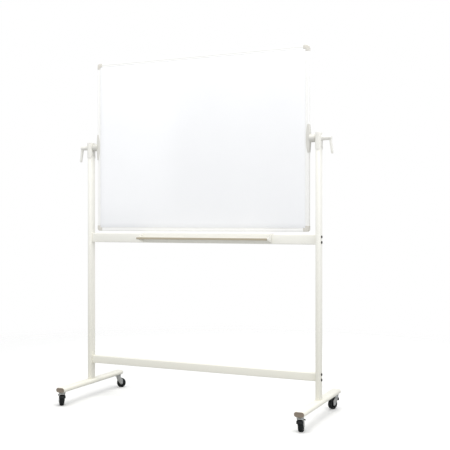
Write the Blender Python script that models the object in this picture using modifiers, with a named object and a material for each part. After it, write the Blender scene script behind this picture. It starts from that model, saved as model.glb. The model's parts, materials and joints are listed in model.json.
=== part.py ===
"""Rolling whiteboard: a board that turns over between two posts on castor feet.

Metres, +Z up, X across the board, -Y the front. The origin is on the floor, midway between the posts.
"""

import math

import bmesh
import bpy
from mathutils import Matrix

GAP = 0.0003  # between pieces that touch

# Board
BOARD_WIDTH = 1.200
BOARD_HEIGHT = 0.900
PIVOT_Z = 1.351
RAIL_FACE = 0.018
RAIL_DEPTH = 0.022
RAIL_WALL = 0.0015
RAIL_EDGE_RADIUS = 0.003
CORNER_LEG = 0.029
CORNER_DEPTH = 0.0236
CORNER_RADIUS = 0.013
SHEET_THICKNESS = 0.0008

# Posts, feet and crossbars
POST_X = 0.647
POST_WIDTH = 0.025
POST_DEPTH = 0.050
TUBE_WALL = 0.0015
POST_TOP = 1.3615
FOOT_TOP = 0.0965
FOOT_WIDTH = 0.050
FOOT_HEIGHT = 0.025
FOOT_LENGTH = 0.578
CAP_FLANGE = 0.003
CAP_INSET = 0.0012  # the flange is this much smaller than the tube all round
CAP_PLUG = 0.016
BAR_DEPTH = 0.025
BAR_RADIUS = 0.004
BAR_END_PLATE = 0.010
UPPER_BAR_TOP = 0.8875
UPPER_BAR_HEIGHT = 0.048
LOWER_BAR_TOP = 0.2240
LOWER_BAR_HEIGHT = 0.040
BASE_PLATE = 0.012

# Fasteners
BOLT_RADIUS = 0.003
BOLT_HEAD_RADIUS = 0.0065
BOLT_HEAD_HEIGHT = 0.004
BOLT_LENGTH = 0.037
BOLT_SPREAD = 0.013  # above and below a crossbar's middle
FOOT_SCREW_LENGTH = 0.036
FOOT_SCREW_SPREAD = 0.012
HOLE_PLAY = 0.0004

# Pivot
HEAD_WALL = 0.002
HEAD_BOTTOM = 1.295
HEAD_TOP = 1.377
HEAD_ARCH_TOP = 1.310
HEAD_ARCH_RADIUS = 0.025
HEAD_DOME = 0.009
SPINDLE_RADIUS = 0.005
SPINDLE_HEAD_RADIUS = 0.008
SPINDLE_HEAD_HEIGHT = 0.0055
SPINDLE_END_X = 0.690
BRACKET_DEPTH = 0.027
BRACKET_STRAIGHT = 0.0655  # half height to where the round ends begin
BRACKET_END_RADIUS = 0.0042
BRACKET_END_X = -0.0035
BRACKET_INNER_BULGE = 0.0074
BRACKET_OUTER_BULGE = 0.0040
BRACKET_HUB_RADIUS = 0.0195
BRACKET_HUB_START = 0.002
LEVER_FLARE_RADIUS = 0.0155
LEVER_HUB_RADIUS = 0.0125
LEVER_HUB_END_RADIUS = 0.0115
LEVER_HUB_LENGTH = 0.050
LEVER_LENGTH = 0.076
LEVER_LEAN = 0.0085
LEVER_TOP_WIDTH = 0.013
LEVER_TIP_WIDTH = 0.0105
LEVER_DEPTH = 0.014

# Pen tray, hooked over the upper crossbar
TRAY_LEFT = -0.320
TRAY_RIGHT = 0.410
TRAY_SHEET = 0.002
TRAY_FRONT_Y = -0.076
TRAY_FLOOR_Z = 0.8585
TRAY_LIP_Z = 0.8685
TRAY_GUSSET_Z = 0.847
TRAY_HOOK_Z = 0.870
TRAY_PLAY = 0.0004

# Castors
CASTOR_Y = 0.269
WHEEL_RADIUS = 0.025
WHEEL_TREAD = 0.022
WHEEL_HUB_WIDTH = 0.0236
TRAIL = 0.020
AXLE_RADIUS = 0.004
STEM_RADIUS = 0.004
RACEWAY_RADIUS = 0.0175
CROWN_RADIUS = 0.0170
RACEWAY_HEIGHT = 0.004
YOKE_PLATE = 0.002
YOKE_INNER = 0.0246
YOKE_BRIDGE_Z = 0.060
YOKE_CROWN_Z = 0.0669
YOKE_LEAD = -0.0085  # leading edge of the fork
YOKE_REAR = 0.0165  # trailing edge of its bridge
PIN_X = 0.012
PIN_Z = 0.0555
PIN_RADIUS = 0.002
PEDAL_WIDTH = 0.0332
PEDAL_SHEET = 0.0025
PEDAL_HEEL = (0.0185, 0.0560)
PEDAL_KNEE = (0.0340, 0.0525)
PEDAL_TOE = (0.0480, 0.0445)
APRON_X = -0.0110
APRON_TOP = 0.0545
APRON_BOTTOM = 0.0400
APRON_SHEET = 0.0020
# Each castor: side, end, the way its wheel trails in degrees from +X, and whether it has a brake.
CASTORS = (
    ("left", "front", 133.0, True),
    ("right", "front", 98.0, True),
    ("left", "rear", 32.0, False),
    ("right", "rear", -114.0, True),
)

SIDES = (("left", -1), ("right", 1))
QUARTER = math.pi / 2
ROUND_STEPS = 24
SMALL_STEPS = 12
SMOOTH_ANGLE = math.radians(35)

FINISHES = {
    "powder_coat": ("#ECEADF", 0.42, 0.0),
    "frame_lacquer": ("#E9EAEA", 0.30, 0.1),
    "corner_plastic": ("#C9C5BC", 0.45, 0.0),
    "writing_enamel": ("#F4F6FA", 0.12, 0.0),
    "core_board": ("#C8BFA8", 0.80, 0.0),
    "pivot_plastic": ("#DAD8D0", 0.40, 0.0),
    "cap_plastic": ("#857868", 0.50, 0.0),
    "dark_steel": ("#3C3A36", 0.40, 1.0),
    "zinc_steel": ("#A8A8A2", 0.35, 1.0),
    "tray_coat": ("#F3F3EE", 0.35, 0.0),
    "black_plastic": ("#1B1B1C", 0.45, 0.0),
    "wheel_rubber": ("#161617", 0.60, 0.0),
}


# --- scene, materials and objects -----------------------------------------------------------------


def clear_scene():
    for obj in list(bpy.data.objects):
        bpy.data.objects.remove(obj)


def new_collection(name):
    collection = bpy.data.collections.new(name)
    bpy.context.scene.collection.children.link(collection)
    return collection


def linear(value):
    return value / 12.92 if value <= 0.04045 else ((value + 0.055) / 1.055) ** 2.4


def make_material(name):
    colour, roughness, metallic = FINISHES[name]
    channels = [linear(int(colour[i : i + 2], 16) / 255) for i in (1, 3, 5)]
    material = bpy.data.materials.new(name)
    material.use_nodes = True
    shader = material.node_tree.nodes["Principled BSDF"]
    shader.inputs["Base Color"].default_value = (*channels, 1.0)
    shader.inputs["Roughness"].default_value = roughness
    shader.inputs["Metallic"].default_value = metallic
    material.diffuse_color = (*channels, 1.0)
    return material


def add_empty(name, location, turn=0.0, parent=None):
    empty = bpy.data.objects.new(name, None)
    empty.location = location
    empty.rotation_euler = (0.0, 0.0, turn)
    empty.parent = parent
    PARTS.objects.link(empty)
    return empty


def add_part(name, mesh, finish, location=(0, 0, 0), rotation=(0, 0, 0), parent=None):
    obj = bpy.data.objects.new(name, mesh)
    obj.location = location
    obj.rotation_euler = rotation
    obj.parent = parent
    if not mesh.materials:
        mesh.materials.append(MATERIALS[finish])
    PARTS.objects.link(obj)
    return obj


def boolean(target, mesh, operation, label):
    """Cut or join a mesh, given in the target's own axes, with a Boolean modifier."""
    cutter = bpy.data.objects.new(f"{label}_of_{target.name}", mesh)
    cutter.location = target.location
    cutter.rotation_euler = target.rotation_euler
    cutter.parent = target.parent
    cutter.hide_render = True
    cutter.display_type = "WIRE"
    CUTTERS.objects.link(cutter)
    modifier = target.modifiers.new(label, "BOOLEAN")
    modifier.operation = operation
    modifier.solver = "EXACT"
    modifier.object = cutter


def cut(target, mesh, label):
    boolean(target, mesh, "DIFFERENCE", label)


def join(target, mesh, label):
    boolean(target, mesh, "UNION", label)


# --- outlines and meshes --------------------------------------------------------------------------


def arc(centre, radius, start, end, steps):
    """Points on an arc, both ends included, angles in degrees."""
    angles = [math.radians(start + (end - start) * i / steps) for i in range(steps + 1)]
    return [(centre[0] + radius * math.cos(a), centre[1] + radius * math.sin(a)) for a in angles]


def rounded_outline(width, height, radius, steps=4):
    """Anticlockwise rectangle with round corners; a full radius makes a flat oval."""
    dx, dy = width / 2 - radius, height / 2 - radius
    corners = ((dx, dy, 0), (-dx, dy, 90), (-dx, -dy, 180), (dx, -dy, 270))
    points = []
    for x, y, start in corners:
        for point in arc((x, y), radius, start, start + 90, steps):
            if not points or math.dist(point, points[-1]) > 1e-7:
                points.append(point)
    if math.dist(points[0], points[-1]) < 1e-7:
        points.pop()
    return points


def oval_outline(width, height):
    return rounded_outline(width, height, min(width, height) / 2)


def finish_mesh(mesh):
    build = bmesh.new()
    build.from_mesh(mesh)
    bmesh.ops.remove_doubles(build, verts=build.verts, dist=1e-6)
    bmesh.ops.recalc_face_normals(build, faces=build.faces)
    build.to_mesh(mesh)
    build.free()
    mesh.shade_smooth()
    mesh.set_sharp_from_angle(angle=SMOOTH_ANGLE)
    return mesh


def prism(outlines, thickness, matrix=None):
    """Flat outlines, the outer one first and then its holes, extruded evenly about z = 0."""
    curve = bpy.data.curves.new("outline", "CURVE")
    curve.dimensions = "2D"
    curve.fill_mode = "BOTH"
    curve.extrude = thickness / 2
    for outline in outlines:
        spline = curve.splines.new("POLY")
        spline.points.add(len(outline) - 1)
        for point, (x, y) in zip(spline.points, outline):
            point.co = (x, y, 0.0, 1.0)
        spline.use_cyclic_u = True
    holder = bpy.data.objects.new("outline", curve)
    bpy.context.scene.collection.objects.link(holder)
    bpy.context.view_layer.update()
    graph = bpy.context.evaluated_depsgraph_get()
    mesh = bpy.data.meshes.new_from_object(holder.evaluated_get(graph))
    bpy.data.objects.remove(holder)
    if matrix is not None:
        mesh.transform(matrix)
    return finish_mesh(mesh)


def box(low, high):
    size = [high[i] - low[i] for i in range(3)]
    middle = [(high[i] + low[i]) / 2 for i in range(3)]
    build = bmesh.new()
    bmesh.ops.create_cube(build, size=1.0)
    bmesh.ops.scale(build, vec=size, verts=build.verts)
    bmesh.ops.translate(build, vec=middle, verts=build.verts)
    mesh = bpy.data.meshes.new("box")
    build.to_mesh(mesh)
    build.free()
    return mesh


def rods(axis, radius, length, centres, steps=SMALL_STEPS):
    """Equal cylinders along one axis, one at each centre, as a single mesh."""
    turn = {"X": Matrix.Rotation(QUARTER, 4, "Y"), "Y": Matrix.Rotation(QUARTER, 4, "X"), "Z": Matrix()}
    build = bmesh.new()
    for centre in centres:
        matrix = Matrix.Translation(centre) @ turn[axis]
        bmesh.ops.create_cone(
            build,
            cap_ends=True,
            segments=steps,
            radius1=radius,
            radius2=radius,
            depth=length,
            matrix=matrix,
        )
    mesh = bpy.data.meshes.new("rods")
    build.to_mesh(mesh)
    build.free()
    return finish_mesh(mesh)


def profile_mesh(points, closed=False):
    """Edges through (radius, height) points, run down the outer side, for a Screw modifier."""
    build = bmesh.new()
    verts = [build.verts.new((radius, 0.0, height)) for radius, height in points]
    pairs = list(zip(verts, verts[1:]))
    if closed:
        pairs.append((verts[-1], verts[0]))
    for pair in pairs:
        build.edges.new(pair)
    mesh = bpy.data.meshes.new("profile")
    build.to_mesh(mesh)
    build.free()
    return mesh


def add_turned(name, points, finish, steps=ROUND_STEPS, closed=False, **place):
    """A turned piece: its profile, spun about its own Z axis."""
    obj = add_part(name, profile_mesh(points, closed), finish, **place)
    screw = obj.modifiers.new("turn", "SCREW")
    screw.axis = "Z"
    screw.steps = steps
    screw.render_steps = steps
    screw.use_merge_vertices = True
    screw.merge_threshold = 0.00001
    screw.use_smooth_shade = False
    return obj


# --- stand ----------------------------------------------------------------------------------------


def bar_levels():
    """Middle heights of the two crossbars."""
    return {
        "upper": UPPER_BAR_TOP - UPPER_BAR_HEIGHT / 2,
        "lower": LOWER_BAR_TOP - LOWER_BAR_HEIGHT / 2,
    }


def bolt_levels():
    return [level + step for level in bar_levels().values() for step in (-BOLT_SPREAD, BOLT_SPREAD)]


def add_posts():
    bottom = FOOT_TOP + GAP
    length = POST_TOP - bottom
    middle = (POST_TOP + bottom) / 2
    outer = oval_outline(POST_WIDTH, POST_DEPTH)
    inner = oval_outline(POST_WIDTH - 2 * TUBE_WALL, POST_DEPTH - 2 * TUBE_WALL)
    plate = oval_outline(POST_WIDTH - TUBE_WALL, POST_DEPTH - TUBE_WALL)
    plate_move = Matrix.Translation((0, 0, BASE_PLATE / 2 - length / 2))
    for side, sign in SIDES:
        post = add_part(
            f"{side}_post",
            prism([outer, inner], length),
            "powder_coat",
            location=(sign * POST_X, 0, middle),
        )
        join(post, prism([plate], BASE_PLATE, plate_move), "base_plate")
        bolt_centres = [(0, 0, z - middle) for z in bolt_levels()]
        bolt_holes = rods("X", BOLT_RADIUS + HOLE_PLAY, 2 * POST_WIDTH, bolt_centres)
        cut(post, bolt_holes, "bolt_holes")
        pivot_hole = rods("X", SPINDLE_RADIUS + HOLE_PLAY, 2 * POST_WIDTH, [(0, 0, PIVOT_Z - middle)])
        cut(post, pivot_hole, "pivot_hole")
        screw_centres = [(0, y, -length / 2) for y in (-FOOT_SCREW_SPREAD, FOOT_SCREW_SPREAD)]
        screw_holes = rods("Z", BOLT_RADIUS + HOLE_PLAY, 4 * BASE_PLATE, screw_centres)
        cut(post, screw_holes, "screw_holes")


def add_crossbars():
    length = 2 * (POST_X - POST_WIDTH / 2 - GAP)
    heights = {"upper": UPPER_BAR_HEIGHT, "lower": LOWER_BAR_HEIGHT}
    for name, level in bar_levels().items():
        height = heights[name]
        outer = rounded_outline(height, BAR_DEPTH, BAR_RADIUS, 3)
        inner = rounded_outline(
            height - 2 * TUBE_WALL, BAR_DEPTH - 2 * TUBE_WALL, BAR_RADIUS - TUBE_WALL, 3
        )
        plate = rounded_outline(height - TUBE_WALL, BAR_DEPTH - TUBE_WALL, BAR_RADIUS - TUBE_WALL / 2, 3)
        bar = add_part(
            f"{name}_crossbar",
            prism([outer, inner], length),
            "powder_coat",
            location=(0, 0, level),
            rotation=(0, QUARTER, 0),
        )
        for sign in (-1, 1):
            move = Matrix.Translation((0, 0, sign * (length - BAR_END_PLATE) / 2))
            join(bar, prism([plate], BAR_END_PLATE, move), "end_plate")
        centres = [
            (x, 0, sign * length / 2) for x in (-BOLT_SPREAD, BOLT_SPREAD) for sign in (-1, 1)
        ]
        cut(bar, rods("Z", BOLT_RADIUS + HOLE_PLAY, 3 * BAR_END_PLATE, centres), "bolt_holes")


def add_bolt(name, length, **place):
    """A round-headed socket bolt, its head up, the underside of the head at its origin."""
    socket_radius = 0.0022
    socket_depth = 0.0022
    edge = 0.001
    points = [
        (0, BOLT_HEAD_HEIGHT - socket_depth),
        (socket_radius, BOLT_HEAD_HEIGHT - socket_depth),
        (socket_radius, BOLT_HEAD_HEIGHT),
        (BOLT_HEAD_RADIUS - edge, BOLT_HEAD_HEIGHT),
        (BOLT_HEAD_RADIUS, BOLT_HEAD_HEIGHT - edge),
        (BOLT_HEAD_RADIUS, 0),
        (BOLT_RADIUS, 0),
        (BOLT_RADIUS, -length),
        (0, -length),
    ]
    add_turned(name, points, "dark_steel", steps=SMALL_STEPS, **place)


def add_crossbar_bolts():
    face = POST_X + POST_WIDTH / 2 + GAP
    for side, sign in SIDES:
        for name, level in bar_levels().items():
            for place, step in (("high", BOLT_SPREAD), ("low", -BOLT_SPREAD)):
                add_bolt(
                    f"{name}_bolt_{side}_{place}",
                    BOLT_LENGTH,
                    location=(sign * face, 0, level + step),
                    rotation=(0, sign * QUARTER, 0),
                )


def add_feet():
    tube_length = FOOT_LENGTH - 2 * (CAP_FLANGE + GAP)
    middle = FOOT_TOP - FOOT_HEIGHT / 2
    outer = oval_outline(FOOT_WIDTH, FOOT_HEIGHT)
    inner = oval_outline(FOOT_WIDTH - 2 * TUBE_WALL, FOOT_HEIGHT - 2 * TUBE_WALL)
    for side, sign in SIDES:
        foot = add_part(
            f"{side}_foot",
            prism([outer, inner], tube_length, Matrix.Rotation(QUARTER, 4, "X")),
            "powder_coat",
            location=(sign * POST_X, 0, middle),
        )
        screw_centres = [(0, y, 0) for y in (-FOOT_SCREW_SPREAD, FOOT_SCREW_SPREAD)]
        cut(foot, rods("Z", BOLT_RADIUS + HOLE_PLAY, 2 * FOOT_HEIGHT, screw_centres), "screw_holes")
        stem_centres = [(0, y, -FOOT_HEIGHT / 2) for y in (-CASTOR_Y, CASTOR_Y)]
        cut(foot, rods("Z", STEM_RADIUS + HOLE_PLAY, FOOT_HEIGHT / 2, stem_centres), "stem_holes")


def add_foot_caps():
    flange = oval_outline(FOOT_WIDTH - 2 * CAP_INSET, FOOT_HEIGHT - 2 * CAP_INSET)
    plug_width = FOOT_WIDTH - 2 * (TUBE_WALL + GAP)
    plug_height = FOOT_HEIGHT - 2 * (TUBE_WALL + GAP)
    plug = oval_outline(plug_width, plug_height)
    upright = Matrix.Rotation(QUARTER, 4, "X")
    stem_room = STEM_RADIUS + 0.002
    for side, sign in SIDES:
        for end, way in (("front", -1), ("rear", 1)):
            cap = add_part(
                f"{side}_{end}_foot_cap",
                prism([flange], CAP_FLANGE, upright),
                "cap_plastic",
                location=(sign * POST_X, way * (FOOT_LENGTH - CAP_FLANGE) / 2, FOOT_TOP - FOOT_HEIGHT / 2),
            )
            inward = -way * (CAP_PLUG / 2 + CAP_FLANGE / 4)
            plug_mesh = prism([plug], CAP_PLUG, Matrix.Translation((0, inward, 0)) @ upright)
            join(cap, plug_mesh, "plug")
            stem_y = way * (CASTOR_Y - (FOOT_LENGTH - CAP_FLANGE) / 2)
            cut(cap, rods("Z", stem_room, 2 * FOOT_HEIGHT, [(0, stem_y, 0)]), "stem_room")


def add_foot_screws():
    under = FOOT_TOP - FOOT_HEIGHT - GAP
    for side, sign in SIDES:
        for place, y in (("front", -FOOT_SCREW_SPREAD), ("rear", FOOT_SCREW_SPREAD)):
            add_bolt(
                f"{side}_foot_screw_{place}",
                FOOT_SCREW_LENGTH,
                location=(sign * POST_X, y, under),
                rotation=(math.pi, 0, 0),
            )


def add_pivot_heads():
    """Caps on the posts, with a domed top, a bore for the pivot bolt and an arched lower edge."""
    width = POST_WIDTH + 2 * (GAP + HEAD_WALL)
    depth = POST_DEPTH + 2 * (GAP + HEAD_WALL)
    height = HEAD_TOP - HEAD_BOTTOM
    middle = (HEAD_TOP + HEAD_BOTTOM) / 2
    pocket_top = POST_TOP + GAP
    pocket_height = 2 * (pocket_top - HEAD_BOTTOM)
    pocket = oval_outline(POST_WIDTH + 2 * GAP, POST_DEPTH + 2 * GAP)
    pocket_move = Matrix.Translation((0, 0, HEAD_BOTTOM - middle))
    arch_centre = (0, 0, HEAD_ARCH_TOP - HEAD_ARCH_RADIUS - middle)
    for side, sign in SIDES:
        mesh = prism([oval_outline(width, depth)], height)
        round_top(mesh, height / 2, HEAD_DOME)
        head = add_part(
            f"{side}_pivot_head",
            mesh,
            "pivot_plastic",
            location=(sign * POST_X, 0, middle),
        )
        cut(head, prism([pocket], pocket_height, pocket_move), "post_pocket")
        cut(head, rods("X", HEAD_ARCH_RADIUS, 3 * width, [arch_centre], ROUND_STEPS), "arch")
        bore_centre = (0, 0, PIVOT_Z - middle)
        cut(head, rods("X", SPINDLE_RADIUS + HOLE_PLAY, 3 * width, [bore_centre]), "bore")


def round_top(mesh, top, radius):
    """Round over the rim of a prism's top face."""
    build = bmesh.new()
    build.from_mesh(mesh)
    bmesh.ops.dissolve_limit(build, angle_limit=0.01, verts=build.verts, edges=build.edges)
    level = [v for v in build.verts if abs(v.co.z - top) < 1e-6]
    rim = [e for e in build.edges if e.verts[0] in level and e.verts[1] in level]
    bmesh.ops.bevel(build, geom=rim, offset=radius, segments=3, profile=0.5, affect="EDGES", material=-1)
    build.to_mesh(mesh)
    build.free()
    finish_mesh(mesh)


def tray_sheet():
    """The folded sheet's inner line, from the hook behind the bar to the lip, carried along X."""
    bar_face = BAR_DEPTH / 2 + TRAY_PLAY
    bar_top = UPPER_BAR_TOP + TRAY_PLAY
    line = [
        (bar_face, TRAY_HOOK_Z),
        (bar_face, bar_top),
        (-bar_face, bar_top),
        (-bar_face, TRAY_FLOOR_Z),
        (TRAY_FRONT_Y, TRAY_FLOOR_Z),
        (TRAY_FRONT_Y, TRAY_LIP_Z),
    ]
    build = bmesh.new()
    verts = [build.verts.new((TRAY_LEFT, y, z)) for y, z in line]
    edges = [build.edges.new(pair) for pair in zip(verts, verts[1:])]
    carried = bmesh.ops.extrude_edge_only(build, edges=edges)["geom"]
    moved = [item for item in carried if isinstance(item, bmesh.types.BMVert)]
    bmesh.ops.translate(build, vec=(TRAY_RIGHT - TRAY_LEFT, 0, 0), verts=moved)
    mesh = bpy.data.meshes.new("tray_sheet")
    build.to_mesh(mesh)
    build.free()
    return mesh


def add_pen_tray():
    tray = add_part("pen_tray", tray_sheet(), "tray_coat")
    wall = tray.modifiers.new("sheet", "SOLIDIFY")
    wall.thickness = TRAY_SHEET
    wall.offset = -1.0
    wall.use_even_offset = True
    back = -(BAR_DEPTH / 2 + TRAY_PLAY)
    inset = TRAY_SHEET / 4
    end = [
        (TRAY_FRONT_Y + inset, TRAY_LIP_Z - inset),
        (TRAY_FRONT_Y + inset, TRAY_FLOOR_Z + inset),
        (back - inset, TRAY_GUSSET_Z),
        (back - inset, UPPER_BAR_TOP),
    ]
    stand_up = Matrix.Rotation(QUARTER, 4, "Z") @ Matrix.Rotation(QUARTER, 4, "X")
    for name, x in (("left", TRAY_LEFT + TRAY_SHEET / 2), ("right", TRAY_RIGHT - TRAY_SHEET / 2)):
        move = Matrix.Translation((x, 0, 0)) @ stand_up
        join(tray, prism([end], TRAY_SHEET - 2 * GAP, move), f"{name}_end")


# --- board ----------------------------------------------------------------------------------------


def rail_outline():
    """C section of a frame rail: x runs inward from its outer side, y through the board."""
    half = RAIL_DEPTH / 2
    lip = half - RAIL_WALL
    radius = RAIL_EDGE_RADIUS
    return [
        *arc((radius, radius - half), radius, 180, 270, 3),
        (RAIL_FACE, -half),
        (RAIL_FACE, -lip),
        (RAIL_WALL, -lip),
        (RAIL_WALL, lip),
        (RAIL_FACE, lip),
        (RAIL_FACE, half),
        *arc((radius, half - radius), radius, 90, 180, 3),
    ]


def add_rails(board):
    """Four rails between the corner caps, each turned from the left one about the board's middle."""
    places = (
        ("left_frame_rail", BOARD_WIDTH, BOARD_HEIGHT, 0),
        ("bottom_frame_rail", BOARD_HEIGHT, BOARD_WIDTH, -1),
        ("right_frame_rail", BOARD_WIDTH, BOARD_HEIGHT, 2),
        ("top_frame_rail", BOARD_HEIGHT, BOARD_WIDTH, 1),
    )
    for name, across, along, turns in places:
        move = Matrix.Translation((-across / 2, 0, 0))
        mesh = prism([rail_outline()], along - 2 * (CORNER_LEG + GAP), move)
        add_part(name, mesh, "frame_lacquer", rotation=(0, turns * QUARTER, 0), parent=board)


def corner_outline():
    """L of a corner cap, its rounded outer corner at the origin, legs along +x and +y."""
    leg, face = CORNER_LEG, RAIL_FACE
    return [
        *arc((CORNER_RADIUS, CORNER_RADIUS), CORNER_RADIUS, 180, 270, 5),
        (leg, 0),
        (leg, face),
        (face, face),
        (face, leg),
        (0, leg),
    ]


def add_corner_caps(board):
    lay_up = Matrix.Rotation(QUARTER, 4, "X")
    half_w, half_h = BOARD_WIDTH / 2, BOARD_HEIGHT / 2
    places = (
        ("bottom_left_corner_cap", -half_w, -half_h, 0),
        ("bottom_right_corner_cap", half_w, -half_h, -1),
        ("top_right_corner_cap", half_w, half_h, 2),
        ("top_left_corner_cap", -half_w, half_h, 1),
    )
    for name, x, z, turns in places:
        mesh = prism([corner_outline()], CORNER_DEPTH, lay_up)
        add_part(
            name,
            mesh,
            "corner_plastic",
            location=(x, 0, z),
            rotation=(0, turns * QUARTER, 0),
            parent=board,
        )


def add_sheets_and_core(board):
    opening_w = BOARD_WIDTH - 2 * (RAIL_FACE + GAP)
    opening_h = BOARD_HEIGHT - 2 * (RAIL_FACE + GAP)
    outer_y = RAIL_DEPTH / 2 - RAIL_WALL + SHEET_THICKNESS
    inner_y = outer_y - SHEET_THICKNESS
    for name, way in (("front_writing_sheet", -1), ("back_writing_sheet", 1)):
        y_low, y_high = sorted((way * inner_y, way * outer_y))
        mesh = box((-opening_w / 2, y_low, -opening_h / 2), (opening_w / 2, y_high, opening_h / 2))
        add_part(name, mesh, "writing_enamel", parent=board)
    half_w = BOARD_WIDTH / 2 - RAIL_WALL - GAP
    half_h = BOARD_HEIGHT / 2 - RAIL_WALL - GAP
    step_w = BOARD_WIDTH / 2 - CORNER_LEG - GAP
    step_h = BOARD_HEIGHT / 2 - CORNER_LEG - GAP
    step = [(half_w, step_h), (step_w, step_h), (step_w, half_h)]
    upper = step + [(-x, y) for x, y in reversed(step)]
    outline = upper + [(-x, -y) for x, y in upper]
    thickness = 2 * (inner_y - GAP)
    mesh = prism([outline], thickness, Matrix.Rotation(QUARTER, 4, "X"))
    add_part("core_board", mesh, "core_board", parent=board)


def bracket_outline():
    """Boat-shaped bracket seen from the front; x runs outward from the board's side."""
    top = arc((BRACKET_END_X, BRACKET_STRAIGHT), BRACKET_END_RADIUS, 0, 180, 6)
    bottom = arc((BRACKET_END_X, -BRACKET_STRAIGHT), BRACKET_END_RADIUS, 180, 360, 6)
    outer, inner = [], []
    steps = 12
    for i in range(1, steps):
        z = BRACKET_STRAIGHT * (2 * i / steps - 1)
        swell = 1 - (z / BRACKET_STRAIGHT) ** 2
        outer.append((BRACKET_END_X + BRACKET_END_RADIUS + BRACKET_OUTER_BULGE * swell, z))
        inner.append((BRACKET_END_X - BRACKET_END_RADIUS - BRACKET_INNER_BULGE * swell, z))
    return outer + top + inner[::-1] + bottom


def add_pivot_brackets(board):
    lay_up = Matrix.Rotation(QUARTER, 4, "X")
    rail_half = RAIL_DEPTH / 2 + GAP
    hub_end = POST_X - POST_WIDTH / 2 - HEAD_WALL - 2 * GAP - BOARD_WIDTH / 2
    head_room = SPINDLE_HEAD_HEIGHT + GAP
    for side, sign in SIDES:
        bracket = add_part(
            f"{side}_pivot_bracket",
            prism([bracket_outline()], BRACKET_DEPTH, lay_up),
            "pivot_plastic",
            location=(sign * BOARD_WIDTH / 2, 0, 0),
            rotation=(0, 0, 0 if sign > 0 else math.pi),
            parent=board,
        )
        cut(bracket, box((-0.05, -rail_half, -0.1), (GAP, rail_half, 0.1)), "rail_pocket")
        hub_length = hub_end - BRACKET_HUB_START
        hub_middle = ((BRACKET_HUB_START + hub_end) / 2, 0, 0)
        join(bracket, rods("X", BRACKET_HUB_RADIUS, hub_length, [hub_middle], ROUND_STEPS), "hub")
        cut(bracket, rods("X", SPINDLE_RADIUS + HOLE_PLAY, 0.08, [(0, 0, 0)]), "bore")
        recess = rods("X", SPINDLE_HEAD_RADIUS + HOLE_PLAY, 2 * head_room, [(GAP, 0, 0)], ROUND_STEPS)
        cut(bracket, recess, "head_recess")


def add_spindles(board):
    """Pivot bolts: the round head sits in the bracket's recess, the shank runs out to the lever."""
    shank = SPINDLE_END_X - BOARD_WIDTH / 2 - GAP - SPINDLE_HEAD_HEIGHT
    points = [
        (0, shank),
        (SPINDLE_RADIUS - 0.001, shank),
        (SPINDLE_RADIUS, shank - 0.001),
        (SPINDLE_RADIUS, 0),
        (SPINDLE_HEAD_RADIUS, 0),
        (SPINDLE_HEAD_RADIUS, -SPINDLE_HEAD_HEIGHT),
        (0, -SPINDLE_HEAD_HEIGHT),
    ]
    for side, sign in SIDES:
        add_turned(
            f"{side}_pivot_bolt",
            points,
            "zinc_steel",
            steps=SMALL_STEPS,
            location=(sign * (BOARD_WIDTH / 2 + GAP + SPINDLE_HEAD_HEIGHT), 0, 0),
            rotation=(0, sign * QUARTER, 0),
            parent=board,
        )


def lever_outline():
    """Clamp lever's arm seen from the front, hanging from its hub's outer end."""
    top_x = LEVER_HUB_LENGTH - LEVER_TOP_WIDTH / 2
    tip_x = top_x + LEVER_LEAN
    tip_radius = LEVER_TIP_WIDTH / 2
    half = LEVER_TOP_WIDTH / 2
    return [
        (top_x + half, 0.004),
        (top_x + half - 0.003, 0.009),
        (top_x - half, 0.009),
        (top_x - half, -0.012),
        *arc((tip_x, tip_radius - LEVER_LENGTH), tip_radius, 180, 360, 6),
    ]


def add_levers():
    face = POST_X + POST_WIDTH / 2 + GAP + HEAD_WALL + GAP
    bore_depth = SPINDLE_END_X - face + GAP
    points = [
        (0, LEVER_HUB_LENGTH - 0.001),
        (LEVER_HUB_END_RADIUS - 0.002, LEVER_HUB_LENGTH - 0.001),
        (LEVER_HUB_END_RADIUS, LEVER_HUB_LENGTH - 0.003),
        (LEVER_HUB_RADIUS, 0.010),
        (LEVER_FLARE_RADIUS, 0.002),
        (LEVER_FLARE_RADIUS, 0),
        (SPINDLE_RADIUS + HOLE_PLAY, 0),
        (SPINDLE_RADIUS + HOLE_PLAY, bore_depth),
        (0, bore_depth),
    ]
    lay_up = Matrix.Rotation(-QUARTER, 4, "Y") @ Matrix.Rotation(QUARTER, 4, "X")
    for side, sign in SIDES:
        lever = add_turned(
            f"{side}_clamp_lever",
            points,
            "pivot_plastic",
            location=(sign * face, 0, PIVOT_Z),
            rotation=(0, sign * QUARTER, 0),
        )
        arm = prism([lever_outline()], LEVER_DEPTH, lay_up)
        if sign < 0:
            arm.transform(Matrix.Rotation(math.pi, 4, "Z"))
        join(lever, arm, "arm")


# --- castors --------------------------------------------------------------------------------------


def add_stem(name, x, y):
    """Threaded stem with the fixed upper raceway."""
    under = FOOT_TOP - FOOT_HEIGHT - GAP
    bottom = under - RACEWAY_HEIGHT
    points = [
        (0, under + 0.016),
        (STEM_RADIUS - 0.001, under + 0.016),
        (STEM_RADIUS, under + 0.015),
        (STEM_RADIUS, under),
        (RACEWAY_RADIUS - 0.001, under),
        (RACEWAY_RADIUS, under - 0.001),
        (RACEWAY_RADIUS, bottom),
        (0, bottom),
    ]
    add_turned(f"{name}_castor_stem", points, "zinc_steel", steps=16, location=(x, y, 0))


def yoke_plate():
    """Side plate of a yoke, seen along the axle: x trails, y is up."""
    top = YOKE_BRIDGE_Z + 0.002
    return [
        (YOKE_LEAD, top),
        (YOKE_LEAD, top - 0.008),
        *arc((TRAIL, WHEEL_RADIUS), 0.0085, 205, 360, 8),
        (TRAIL + 0.0085, 0.044),
        (YOKE_REAR, 0.053),
        (YOKE_REAR, top),
    ]


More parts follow.
